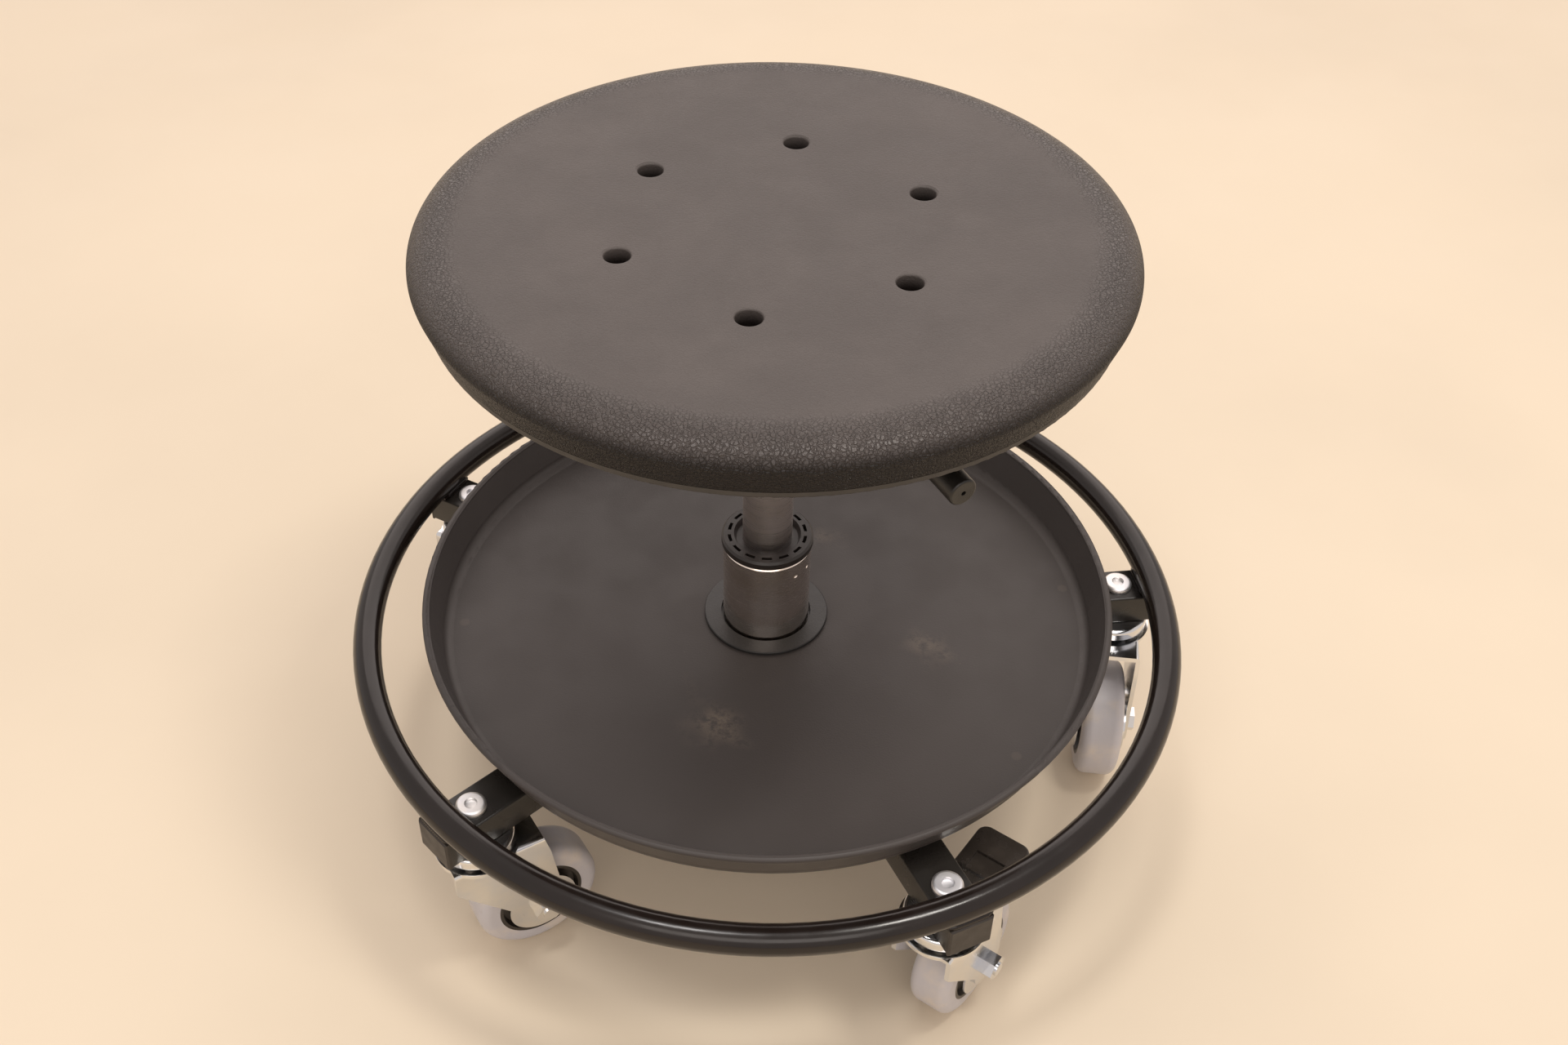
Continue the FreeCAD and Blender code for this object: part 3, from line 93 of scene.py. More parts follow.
# ---- Node writer -----------------------------------------------------------
class Shader:
    """Writes one material's nodes around a single surface shader."""

    def __init__(self, name: str, **values: float | Colour) -> None:
        """Start a material.

        Args:
            name: The material's name.
            **values: Values of the shader's own sockets, with _ for a space.
        """
        self.material = bpy.data.materials.new(name)
        self.material.use_nodes = True
        self.tree = self.material.node_tree
        self.tree.nodes.clear()
        self.surface = self.tree.nodes.new("ShaderNodeBsdfPrincipled")
        output = self.tree.nodes.new("ShaderNodeOutputMaterial")
        self.tree.links.new(self.surface.outputs["BSDF"], output.inputs["Surface"])
        self.object = self.tree.nodes.new("ShaderNodeTexCoord").outputs["Object"]
        for key, value in values.items():
            socket = self.surface.inputs[key.replace("_", " ")]
            socket.default_value = (*value, 1.0) if isinstance(value, tuple) else value

    def feed(self, socket: Socket, value: Socket | float | Colour | Vector) -> None:
        """Link or set an input.

        Args:
            socket: The input.
            value: Another node's output, or a plain value.
        """
        if isinstance(value, bpy.types.NodeSocket):
            self.tree.links.new(value, socket)
        elif isinstance(value, tuple) and socket.type == "RGBA":
            socket.default_value = (*value, 1.0)
        else:
            socket.default_value = value

    def surface_from(self, key: str, value: Socket) -> None:
        """Drive one of the shader's inputs with a pattern."""
        self.tree.links.new(value, self.surface.inputs[key])

    def maths(self, kind: str, a: Socket | float, b: Socket | float = 0.0) -> Socket:
        """Return one arithmetic step.

        Args:
            kind: The operation's name.
            a: First value.
            b: Second value.

        Returns:
            The result.
        """
        node = self.tree.nodes.new("ShaderNodeMath")
        node.operation = kind
        self.feed(node.inputs[0], a)
        self.feed(node.inputs[1], b)
        return node.outputs[0]

    def stretch(self, scale: Vector, place: Socket | None = None) -> Socket:
        """Return coordinates scaled by axis."""
        node = self.tree.nodes.new("ShaderNodeMapping")
        node.inputs["Scale"].default_value = scale
        self.feed(node.inputs["Vector"], place or self.object)
        return node.outputs["Vector"]

    def noise(
        self, scale: float, detail: float = 3.0, rough: float = 0.5, place: Socket | None = None
    ) -> Socket:
        """Return a cloudy pattern from 0 to 1.

        Args:
            scale: Features per metre.
            detail: Octaves.
            rough: Share that each octave adds.
            place: Coordinates, or None for the object's own.

        Returns:
            The pattern.
        """
        node = self.tree.nodes.new("ShaderNodeTexNoise")
        node.inputs["Scale"].default_value = scale
        node.inputs["Detail"].default_value = detail
        node.inputs["Roughness"].default_value = rough
        self.feed(node.inputs["Vector"], place or self.object)
        return node.outputs["Fac"]

    def warped(self, scale: float, reach: float) -> Socket:
        """Return the object's coordinates pushed about by a cloudy pattern.

        Args:
            scale: Features per metre of the push.
            reach: Largest push.

        Returns:
            The coordinates.
        """
        push = self.tree.nodes.new("ShaderNodeTexNoise")
        push.inputs["Scale"].default_value = scale
        push.inputs["Detail"].default_value = 2.0
        self.feed(push.inputs["Vector"], self.object)
        centred = self.tree.nodes.new("ShaderNodeVectorMath")
        centred.operation = "SUBTRACT"
        self.feed(centred.inputs[0], push.outputs["Color"])
        centred.inputs[1].default_value = (0.5, 0.5, 0.5)
        scaled = self.tree.nodes.new("ShaderNodeVectorMath")
        scaled.operation = "SCALE"
        self.feed(scaled.inputs[0], centred.outputs["Vector"])
        scaled.inputs["Scale"].default_value = 2.0 * reach
        moved = self.tree.nodes.new("ShaderNodeVectorMath")
        moved.operation = "ADD"
        self.feed(moved.inputs[0], self.object)
        self.feed(moved.inputs[1], scaled.outputs["Vector"])
        return moved.outputs["Vector"]

    def cells(self, scale: float, edges: bool = False, place: Socket | None = None) -> Socket:
        """Return the distance to the cells' middles, or to their edges."""
        node = self.tree.nodes.new("ShaderNodeTexVoronoi")
        node.feature = "DISTANCE_TO_EDGE" if edges else "F1"
        node.inputs["Scale"].default_value = scale
        self.feed(node.inputs["Vector"], place or self.object)
        return node.outputs["Distance"]

    def span(
        self, value: Socket, low: float, high: float, to_low: float = 0.0, to_high: float = 1.0
    ) -> Socket:
        """Return a value mapped smoothly from one range to another.

        Args:
            value: What is mapped.
            low: Start of its range.
            high: End of its range.
            to_low: Result at the start.
            to_high: Result at the end.

        Returns:
            The mapped value.
        """
        node = self.tree.nodes.new("ShaderNodeMapRange")
        node.interpolation_type = "SMOOTHSTEP"
        self.feed(node.inputs["Value"], value)
        for key, number in zip(("From Min", "From Max", "To Min", "To Max"), (low, high, to_low, to_high)):
            node.inputs[key].default_value = number
        return node.outputs["Result"]

    def blend(self, share: Socket, a: Socket | Colour, b: Socket | Colour) -> Socket:
        """Return a mix of two colours by a share from 0 to 1."""
        node = self.tree.nodes.new("ShaderNodeMix")
        node.data_type = "RGBA"
        sockets = [s for s in node.inputs if s.type == "RGBA"]
        factor = [s for s in node.inputs if s.name == "Factor" and s.type == "VALUE"][0]
        self.feed(factor, share)
        self.feed(sockets[0], a)
        self.feed(sockets[1], b)
        return [s for s in node.outputs if s.type == "RGBA"][0]

    def axes(self) -> tuple[Socket, Socket, Socket]:
        """Return the object's X, Y and Z."""
        node = self.tree.nodes.new("ShaderNodeSeparateXYZ")
        self.feed(node.inputs[0], self.object)
        return node.outputs[0], node.outputs[1], node.outputs[2]

    def from_axis(self, centre: tuple[float, float] = (0.0, 0.0)) -> Socket:
        """Return the distance from an upright line through a point."""
        x, y, _ = self.axes()
        dx = self.maths("SUBTRACT", x, centre[0])
        dy = self.maths("SUBTRACT", y, centre[1])
        square = self.maths("ADD", self.maths("MULTIPLY", dx, dx), self.maths("MULTIPLY", dy, dy))
        return self.maths("SQRT", square)

    def relief(self, height: Socket, depth: float) -> None:
        """Raise the surface by a pattern, in metres."""
        node = self.tree.nodes.new("ShaderNodeBump")
        node.inputs["Strength"].default_value = 1.0
        node.inputs["Distance"].default_value = depth
        self.feed(node.inputs["Height"], height)
        self.surface_from("Normal", node.outputs["Normal"])


# ---- Finishes --------------------------------------------------------------
@dataclass(frozen=True)
class MouldedSkin:
    """Grained polyurethane skin, finer on top and crinkled round the shoulder, with painted shade on its
    lower side.
    """

    colour: Colour = (0.063, 0.053, 0.049)
    worn: Colour = (0.076, 0.064, 0.059)
    # The side colour is painted shade: the pad's lower side is made dark to stand for the shade that falls
    # beneath the shoulder.
    side: Colour = (0.009, 0.006, 0.005)
    gloss: float = 0.32
    crinkles_per_metre: float = 500.0
    crease_width: float = 0.16
    crossing_width: float = 0.10
    crossing_share: float = 0.55
    crossing_strength: float = 0.7
    warps_per_metre: float = 210.0
    warp_reach: float = 0.0011
    pores_per_metre: float = 1900.0
    pore_strength: float = 0.20
    flat_strength: float = 0.10
    shoulder_strength: float = 0.80
    depth: float = 0.00055
    shoulder_from: float = 0.150
    shoulder_to: float = 0.166
    painted_shade_from: float = 0.0105
    painted_shade_to: float = 0.0030
    rough_from: float = 0.47
    rough_to: float = 0.51
    shoulder_shine: float = -0.22

    def material(self) -> bpy.types.Material:
        """Return the material."""
        s = Shader("moulded_skin", Roughness=0.5, Specular_IOR_Level=self.gloss)
        place = s.warped(self.warps_per_metre, self.warp_reach)
        creases = s.cells(self.crinkles_per_metre, edges=True, place=place)
        crinkle = s.span(creases, 0.0, self.crease_width)
        wide = s.cells(self.crossing_share * self.crinkles_per_metre, edges=True, place=place)
        crossing = s.maths("MULTIPLY", s.span(wide, 0.0, self.crossing_width), self.crossing_strength)
        pores = s.noise(self.pores_per_metre, 3.0, 0.6)
        edge = s.span(s.from_axis(), self.shoulder_from, self.shoulder_to)
        strength = s.maths("ADD", s.maths("MULTIPLY", edge, self.shoulder_strength), self.flat_strength)
        grain = s.maths("MULTIPLY", s.maths("ADD", crinkle, crossing), strength)
        height = s.maths("ADD", grain, s.maths("MULTIPLY", pores, self.pore_strength))
        s.relief(height, self.depth)
        cloud = s.span(s.noise(16.0, 4.0, 0.6), 0.35, 0.75)
        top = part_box("seat_pad")[1].z
        # Painted shade: below the shoulder the skin blends to the dark side colour. The same height mask
        # keeps the shoulder shine above that band.
        above_painted_shade = s.span(s.axes()[2], top - self.painted_shade_from, top - self.painted_shade_to)
        tone = s.blend(cloud, self.colour, self.worn)
        s.surface_from("Base Color", s.blend(above_painted_shade, self.side, tone))
        matt = s.span(s.noise(45.0, 3.0), 0.3, 0.7, self.rough_from, self.rough_to)
        shine = s.maths("MULTIPLY", s.maths("MULTIPLY", edge, above_painted_shade), self.shoulder_shine)
        s.surface_from("Roughness", s.maths("ADD", matt, shine))
        return s.material


@dataclass(frozen=True)
class PowderCoat:
    """Satin powder coating with a fine orange peel."""

    name: str = "powder_coat"
    colour: Colour = (0.022, 0.019, 0.018)
    rough: float = 0.42
    peel_per_metre: float = 700.0
    peel_depth: float = 0.00007
    gloss: float = 0.5
    lighter_by: float = 1.35

    def material(self) -> bpy.types.Material:
        """Return the material."""
        s = Shader(self.name, Specular_IOR_Level=self.gloss)
        lighter = tuple(self.lighter_by * c for c in self.colour)
        s.surface_from("Base Color", s.blend(s.span(s.noise(25.0), 0.35, 0.7), self.colour, lighter))
        s.surface_from("Roughness", s.span(s.noise(60.0), 0.3, 0.7, self.rough - 0.04, self.rough + 0.05))
        s.relief(s.noise(self.peel_per_metre, 2.0), self.peel_depth)
        return s.material


@dataclass(frozen=True)
class Smudge:
    """A dusty mark on the tray's floor."""

    x: float
    y: float
    reach: float
    strength: float


@dataclass(frozen=True)
class TrayCoat:
    """Matt tray coating with dust marks, spot-weld rings and small scratches."""

    colour: Colour = (0.046, 0.039, 0.036)
    cloudy: Colour = (0.052, 0.044, 0.041)
    dust: Colour = (0.22, 0.175, 0.13)
    smudges: tuple[Smudge, ...] = (
        Smudge(-0.025, -0.089, 0.026, 0.40),
        Smudge(0.095, -0.026, 0.020, 0.30),
        Smudge(0.038, 0.063, 0.013, 0.50),
        Smudge(-0.040, -0.060, 0.010, 0.12),
    )
    spots: tuple[tuple[float, float], ...] = ((-0.176, -0.015), (0.177, 0.025), (0.137, -0.106))
    spot_radius: float = 0.0035
    spot_strength: float = 0.10
    gloss: float = 0.40
    speck_strength: float = 0.35
    depth: float = 0.00006

    def material(self) -> bpy.types.Material:
        """Return the material."""
        s = Shader("tray_coat", Specular_IOR_Level=self.gloss)
        tone = s.blend(s.span(s.noise(9.0, 3.0), 0.3, 0.7), self.colour, self.cloudy)
        broken = s.span(s.noise(150.0, 5.0, 0.7), 0.38, 0.62)
        ragged = s.span(s.noise(75.0, 4.0, 0.65), 0.25, 0.75, -0.007, 0.010)
        total = None
        for mark in self.smudges:
            away = s.maths("ADD", s.from_axis((mark.x, mark.y)), ragged)
            near = s.span(away, 0.15 * mark.reach, mark.reach, mark.strength, 0.0)
            total = near if total is None else s.maths("MAXIMUM", total, near)
        tone = s.blend(s.maths("MULTIPLY", total, broken), tone, self.dust)
        for x, y in self.spots:
            away = s.from_axis((x, y))
            spot = s.span(away, 0.6 * self.spot_radius, self.spot_radius, self.spot_strength, 0.0)
            tone = s.blend(spot, tone, self.dust)
        specks = s.span(s.cells(140.0), 0.02, 0.05, self.speck_strength, 0.0)
        rare = s.span(s.noise(30.0, 2.0), 0.66, 0.72)
        tone = s.blend(s.maths("MULTIPLY", specks, rare), tone, self.dust)
        s.surface_from("Base Color", tone)
        s.surface_from("Roughness", s.span(s.noise(35.0, 3.0), 0.3, 0.7, 0.44, 0.54))
        s.relief(s.noise(900.0, 2.0), self.depth)
        return s.material


@dataclass(frozen=True)
class ZincPlate:
    """Bright zinc plating, faintly clouded, with the soft ripple of pressed sheet."""

    name: str = "zinc_plate"
    cool: Colour = (0.70, 0.72, 0.76)
    warm: Colour = (0.78, 0.77, 0.75)
    rough: float = 0.17
    ripples_per_metre: float = 45.0
    ripple_depth: float = 0.00003
    grain_share: float = 0.02

    def material(self) -> bpy.types.Material:
        """Return the material."""
        s = Shader(self.name, Metallic=1.0)
        cloud = s.span(s.noise(55.0, 3.0), 0.35, 0.65)
        s.surface_from("Base Color", s.blend(cloud, self.cool, self.warm))
        matt = s.span(s.noise(90.0, 3.0), 0.3, 0.75, self.rough - 0.03, self.rough + 0.05)
        s.surface_from("Roughness", matt)
        grain = s.maths("MULTIPLY", s.noise(900.0, 2.0), self.grain_share)
        ripple = s.maths("ADD", s.noise(self.ripples_per_metre, 1.0), grain)
        s.relief(ripple, self.ripple_depth)
        return s.material


@dataclass(frozen=True)
class TurnedSteel:
    """Bare or chromed steel tube with fine marks round its axis."""

    name: str = "turned_steel"
    colour: Colour = (0.92, 0.84, 0.78)
    stained: Colour = (0.80, 0.70, 0.60)
    rough: float = 0.20
    marks_across: float = 25.0
    marks_along: float = 5200.0
    depth: float = 0.000012

    def material(self) -> bpy.types.Material:
        """Return the material."""
        s = Shader(self.name, Metallic=1.0)
        stain = s.span(s.noise(28.0, 4.0, 0.6), 0.42, 0.72)
        s.surface_from("Base Color", s.blend(stain, self.colour, self.stained))
        scale = Vector((self.marks_across, self.marks_across, self.marks_along))
        lines = s.noise(1.0, 4.0, 0.6, s.stretch(scale))
        matt = s.span(lines, 0.3, 0.7, self.rough - 0.05, self.rough + 0.08)
        s.surface_from("Roughness", matt)
        s.relief(lines, self.depth)
        return s.material


@dataclass(frozen=True)
class MouldedPlastic:
    """Injection-moulded plastic with a fine spark-eroded texture."""

    name: str = "moulded_plastic"
    colour: Colour = (0.020, 0.018, 0.016)
    rough: float = 0.42
    lighter_by: float = 1.4
    texture_per_metre: float = 1800.0
    depth: float = 0.00006

    def material(self) -> bpy.types.Material:
        """Return the material."""
        s = Shader(self.name, Specular_IOR_Level=0.5)
        lighter = tuple(self.lighter_by * c for c in self.colour)
        s.surface_from("Base Color", s.blend(s.span(s.noise(80.0, 3.0), 0.4, 0.75), self.colour, lighter))
        s.surface_from("Roughness", s.span(s.noise(120.0), 0.3, 0.7, self.rough - 0.05, self.rough + 0.06))
        s.relief(s.noise(self.texture_per_metre, 2.0), self.depth)
        return s.material


@dataclass(frozen=True)
class TyreRubber:
    """Grey thermoplastic tread with floor dust and light scuffs."""

    colour: Colour = (0.49, 0.47, 0.49)
    dusty: Colour = (0.62, 0.55, 0.48)
    scuff: Colour = (0.42, 0.38, 0.37)
    scuff_strength: float = 0.45
    depth: float = 0.00006

    def material(self) -> bpy.types.Material:
        """Return the material."""
        s = Shader("tyre_rubber", Specular_IOR_Level=0.5)
        tone = s.blend(s.span(s.noise(60.0, 4.0), 0.45, 0.8), self.colour, self.dusty)
        scuffs = s.span(s.noise(240.0, 5.0, 0.7), 0.60, 0.75, 0.0, self.scuff_strength)
        s.surface_from("Base Color", s.blend(scuffs, tone, self.scuff))
        s.surface_from("Roughness", s.span(s.noise(90.0), 0.3, 0.7, 0.36, 0.50))
        s.relief(s.noise(420.0, 3.0), self.depth)
        return s.material


def coat(finish: type, *values: object) -> Field:
    """Return a dataclass field whose value is one finish's material.

    Args:
        finish: The finish's class.
        *values: Values of its first fields, the rest keeping their own.

    Returns:
        The field.
    """
    return field(default_factory=lambda: finish(*values).material())


@dataclass(frozen=True)
class Finishes:
    """Every finish of the stool, made once and shared."""

    skin: bpy.types.Material = coat(MouldedSkin)
    pan: bpy.types.Material = coat(MouldedPlastic, "pan_plastic", (0.030, 0.026, 0.023), 0.48)
    mount: bpy.types.Material = coat(PowderCoat, "mount_coat", (0.016, 0.015, 0.014), 0.38)
    arms: bpy.types.Material = coat(
        PowderCoat, "frame_coat", (0.014, 0.012, 0.010), 0.30, 700.0, 0.00003
    )
    ring: bpy.types.Material = coat(
        PowderCoat, "ring_coat", (0.009, 0.006, 0.005), 0.19, 260.0, 0.000008, 0.42
    )
    tray: bpy.types.Material = coat(TrayCoat)
    zinc: bpy.types.Material = coat(ZincPlate)
    fastener: bpy.types.Material = coat(
        ZincPlate, "fastener_zinc", (0.84, 0.84, 0.87), (0.88, 0.86, 0.84), 0.46
    )
    column: bpy.types.Material = coat(TurnedSteel, "column_steel")
    cylinder: bpy.types.Material = coat(
        TurnedSteel, "cylinder_steel", (0.78, 0.72, 0.71), (0.67, 0.61, 0.57), 0.30
    )
    inner: bpy.types.Material = coat(
        TurnedSteel, "inner_steel", (0.55, 0.54, 0.53), (0.45, 0.43, 0.42), 0.24
    )
    bush: bpy.types.Material = coat(MouldedPlastic, "bush_plastic", (0.018, 0.014, 0.012), 0.36)
    grip: bpy.types.Material = coat(MouldedPlastic, "grip_plastic", (0.006, 0.005, 0.004), 0.42)
    pedal: bpy.types.Material = coat(MouldedPlastic, "pedal_plastic", (0.045, 0.037, 0.031), 0.24)
    cap: bpy.types.Material = coat(MouldedPlastic, "cap_plastic", (0.026, 0.020, 0.016), 0.46)
    core: bpy.types.Material = coat(MouldedPlastic, "core_plastic", (0.020, 0.015, 0.012), 0.36)
    rubber: bpy.types.Material = coat(MouldedPlastic, "black_rubber", (0.014, 0.013, 0.013), 0.62)
    tyre: bpy.types.Material = coat(TyreRubber)


def dress(material: bpy.types.Material, *nodes: str) -> None:
    """Give CAD nodes a finish.

    Args:
        material: The finish.
        *nodes: The nodes' names.
    """
    for name in nodes:
        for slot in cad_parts[name].material_slots:
            slot.material = material


# ---- Mesh building ---------------------------------------------------------
@dataclass
class Section:
    """Half of a round piece's outline, as distance from its axis and height."""

    points: list[tuple[float, float]]

    def turned(self, steps: int) -> bmesh.types.BMesh:
        """Return the closed shape that the outline turns about Z.

        Args:
            steps: Divisions of the full turn.

        Returns:
            The shape, with its faces pointing outwards.
        """
        shape = bmesh.new()
        ring = [shape.verts.new((r, 0.0, z)) for r, z in self.points]
        edges = [shape.edges.new(pair) for pair in zip(ring, ring[1:])]
        if self.points[0] == self.points[-1]:
            bmesh.ops.remove_doubles(shape, verts=shape.verts, dist=1e-7)
            edges = list(shape.edges)
        bmesh.ops.spin(
            shape,
            geom=list(shape.verts) + edges,
            cent=(0, 0, 0),
            axis=(0, 0, 1),
            angle=2 * math.pi,
            steps=steps,
            use_merge=True,
        )
        bmesh.ops.remove_doubles(shape, verts=shape.verts, dist=1e-6)
        bmesh.ops.recalc_face_normals(shape, faces=shape.faces)
        return shape


@dataclass
class Arc:
    """A round or oval bend of an outline."""

    centre: tuple[float, float]
    radii: tuple[float, float]
    start_deg: float
    end_deg: float
    steps: int = 12

    def points(self) -> list[tuple[float, float]]:
        """Return the points along the bend."""
        found = []
        for k in range(self.steps + 1):
            angle = math.radians(self.start_deg + (self.end_deg - self.start_deg) * k / self.steps)
            r = self.centre[0] + self.radii[0] * math.cos(angle)
            found.append((r, self.centre[1] + self.radii[1] * math.sin(angle)))
        return found


def finished(
    shape: bmesh.types.BMesh, name: str, material: bpy.types.Material, sharp_deg: float = 35.0
) -> bpy.types.Object:
    """Turn a built shape into an object in the scene.

    Args:
        shape: The shape, which is used up.
        name: The piece's name.
        material: Its finish.
        sharp_deg: Edges that bend more than this stay sharp.

    Returns:
        The object.
    """
    mesh = bpy.data.meshes.new(name)
    shape.to_mesh(mesh)
    shape.free()
    mesh.materials.append(material)
    mesh.shade_smooth()
    mesh.set_sharp_from_angle(angle=math.radians(sharp_deg))
    piece = bpy.data.objects.new(name, mesh)
    bpy.context.scene.collection.objects.link(piece)
    return piece


def add(whole: bmesh.types.BMesh, part: bmesh.types.BMesh) -> None:
    """Move one shape's faces into another.

    Args:
        whole: The shape that grows.
        part: The shape that is used up.
    """
    mesh = bpy.data.meshes.new("part")
    part.to_mesh(mesh)
    part.free()
    whole.from_mesh(mesh)
    bpy.data.meshes.remove(mesh)


def settle(piece: bpy.types.Object, material: bpy.types.Material, sharp_deg: float = 35.0) -> None:
    """Apply a piece's modifiers to its mesh.

    Args:
        piece: The object.
        material: Its finish.
        sharp_deg: Edges that bend more than this stay sharp.
    """
    graph = bpy.context.evaluated_depsgraph_get()
    made = bpy.data.meshes.new_from_object(piece.evaluated_get(graph))
    piece.modifiers.clear()
    old = piece.data
    piece.data = made
    bpy.data.meshes.remove(old)
    made.materials.clear()
    made.materials.append(material)
    made.shade_smooth()
    made.set_sharp_from_angle(angle=math.radians(sharp_deg))


def ride(piece: bpy.types.Object, body: Body) -> bpy.types.Object:
    """Put a piece on its body."""
    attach(piece, body.value)
    return piece


# ---- Seat ------------------------------------------------------------------
@dataclass
class SeatPad:
    """The one-piece moulded pad with its six vents."""

    finishes: Finishes
    dish: float = 0.003
    shoulder: float = 0.0115
    reach: float = 1.9
    side_draft: float = 0.005
    lower_edge: float = 0.0012
    dish_rings: int = 26
    base_rings: int = 12
    vent_radius: float = 0.0065
    vent_circle: float = 0.080
    vent_first_deg: float = 22.5
    vent_steps: int = 40
    dish_edge: float = 0.154
    vents: int = 6
    vent_lip: float = 0.0012
    cutter_overrun: float = 0.004
    steps: int = 240

    def outline(self) -> Section:
        """Return half of the pad's cross-section."""
        low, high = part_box("seat_pad")
        outer = (high.x - low.x) / 2
        top = high.z
        bottom = low.z
        side_z = top - self.shoulder
        foot = outer - self.side_draft
        flat = outer - self.reach * self.shoulder
        points = [(0.0, bottom)]
        points += [(foot * k / self.base_rings, bottom) for k in range(1, self.base_rings)]
        points.append((foot - self.lower_edge, bottom))
        corner = (foot - self.lower_edge, bottom + self.lower_edge)
        points += Arc(corner, (self.lower_edge,) * 2, -80, -10, 4).points()
        for share in (0.2, 0.4, 0.6, 0.8):
            points.append((foot + (outer - foot) * share, bottom + (side_z - bottom) * share))
        points += Arc((flat, side_z), (outer - flat, self.shoulder), 0, 90, 22).points()
        for k in range(1, self.dish_rings + 1):
            r = flat * (1 - k / self.dish_rings)
            points.append((r, top - self.dish * (1 - (r / flat) ** 2)))
        return Section(points)

    def vent_cutter(self) -> bmesh.types.BMesh:
        """Return one hole's cutter, flared where it meets the pad's top."""
        low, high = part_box("seat_pad")
        lip = self.vent_lip
        top = high.z - self.dish * (1 - (self.vent_circle / self.dish_edge) ** 2)
        below = low.z - self.cutter_overrun
        above = top + self.cutter_overrun
        outline = [(0.0, below), (self.vent_radius, below)]
        outline += Arc((self.vent_radius + lip, top - lip), (-lip, lip), 0, 90, 6).points()
        outline += [(self.vent_radius + 1.15 * lip, above), (0.0, above)]
        return Section(outline).turned(self.vent_steps)

    def build(self) -> bpy.types.Object:
        """Return the pad with its vents cut through."""
        pad = finished(self.outline().turned(self.steps), "moulded_seat_pad", self.finishes.skin)
        cutters = bmesh.new()
        for k in range(self.vents):
            one = self.vent_cutter()
            place = polar(self.vent_circle, self.vent_first_deg + k * 360 / self.vents)
            bmesh.ops.translate(one, verts=one.verts, vec=place)
            add(cutters, one)
        tool = finished(cutters, "vent_cutter", self.finishes.skin)
        cut = pad.modifiers.new("vents", "BOOLEAN")
        cut.operation = "DIFFERENCE"
        cut.solver = "EXACT"
        cut.object = tool
        settle(pad, self.finishes.skin, 42.0)
        bpy.data.objects.remove(tool)
        ride(pad, Body.SEAT)
        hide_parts("seat_pad")
        return pad


@dataclass
class SeatMount:
    """The pan, plate, channel, socket, screws and lever under the pad."""

    finishes: Finishes

    def dress(self) -> None:
        """Finish the mount's CAD nodes."""
        dress(self.finishes.pan, "seat_pan")
        dress(self.finishes.mount, "seat_mount_plate", "seat_mount_channel", "seat_mount_socket")
        dress(self.finishes.fastener, "seat_screws", "lever_pivot_pin")
        dress(self.finishes.inner, "seat_inserts", "lever_arm")
        dress(self.finishes.grip, "lever_grip")


# ---- Column ----------------------------------------------------------------
@dataclass
class Column:
    """The outer tube, guide bush and gas spring."""

    finishes: Finishes

    def dress(self) -> None:
        """Finish the column's CAD nodes."""
        dress(self.finishes.column, "column_tube")
        dress(self.finishes.bush, "guide_bush")
        dress(self.finishes.cylinder, "gas_cylinder")
        dress(
            self.finishes.inner,
            "thrust_race_lower",
            "thrust_balls",
            "thrust_race_upper",
            "piston_rod",
            "rod_clip",
            "piston",
            "rod_guide",
            "valve_body",
            "valve_pin",
        )
        dress(self.finishes.rubber, "rod_buffer")


# ---- Base ------------------------------------------------------------------
@dataclass
class WeldBead:
    """A rippled fillet weld that runs round the column's axis."""

    radius: float = 0.0021
    ripple: float = 0.16
    pitch: float = 0.0016
    sides: int = 10

    def arc(self, centre: Vector, round_radius: float, span_deg: float) -> bmesh.types.BMesh:
        """Return a bead along part of a circle about the column's axis.

        Args:
            centre: Middle of the bead.
            round_radius: Radius of the circle.
            span_deg: How much of the circle it covers.

        Returns:
            The bead, closed at both ends.
        """
        middle_deg = math.degrees(math.atan2(centre.y, centre.x))
        length = round_radius * math.radians(span_deg)
        steps = max(6, round(2 * length / self.pitch))
        shape = bmesh.new()
        turn = Matrix.Translation(polar(round_radius, middle_deg - span_deg / 2, centre.z))
        turn = turn @ Matrix.Rotation(math.radians(middle_deg - span_deg / 2), 4, "Z")
        turn = turn @ Matrix.Rotation(math.pi / 2, 4, "X")
        bmesh.ops.create_circle(shape, segments=self.sides, radius=self.radius, matrix=turn)
        bmesh.ops.spin(
            shape,
            geom=list(shape.verts) + list(shape.edges),
            cent=(0, 0, 0),
            axis=(0, 0, 1),
            angle=math.radians(span_deg),
            steps=steps,
        )
        self.shape_rings(shape, round_radius, centre.z, middle_deg, span_deg, steps)
        bmesh.ops.holes_fill(shape, edges=shape.edges, sides=0)
        bmesh.ops.recalc_face_normals(shape, faces=shape.faces)
        return shape

    def shape_rings(
        self,
        shape: bmesh.types.BMesh,
        round_radius: float,
        z: float,
        middle_deg: float,
        span_deg: float,
        steps: int,
    ) -> None:
        """Swell and shrink the bead along its length and taper its ends.

        Args:
            shape: The bead.
            round_radius: Radius of its circle.
            z: Height of its middle.
            middle_deg: Azimuth of its middle.
            span_deg: How much of the circle it covers.
            steps: Rings along it.
        """
        for vert in shape.verts:
            angle = math.degrees(math.atan2(vert.co.y, vert.co.x)) - middle_deg + span_deg / 2
            gap = (360 - span_deg) / 2
            angle = (angle + gap) % 360 - gap
            share = min(max(angle / span_deg, 0.0), 1.0)
            index = round(share * steps)
            swell = 1 + self.ripple * (1 if index % 2 else -1) * 0.5
            swell *= min(1.0, 0.35 + 5 * min(share, 1 - share))
            spine = polar(round_radius, middle_deg - span_deg / 2 + share * span_deg, z)
            vert.co = spine + (vert.co - spine) * swell


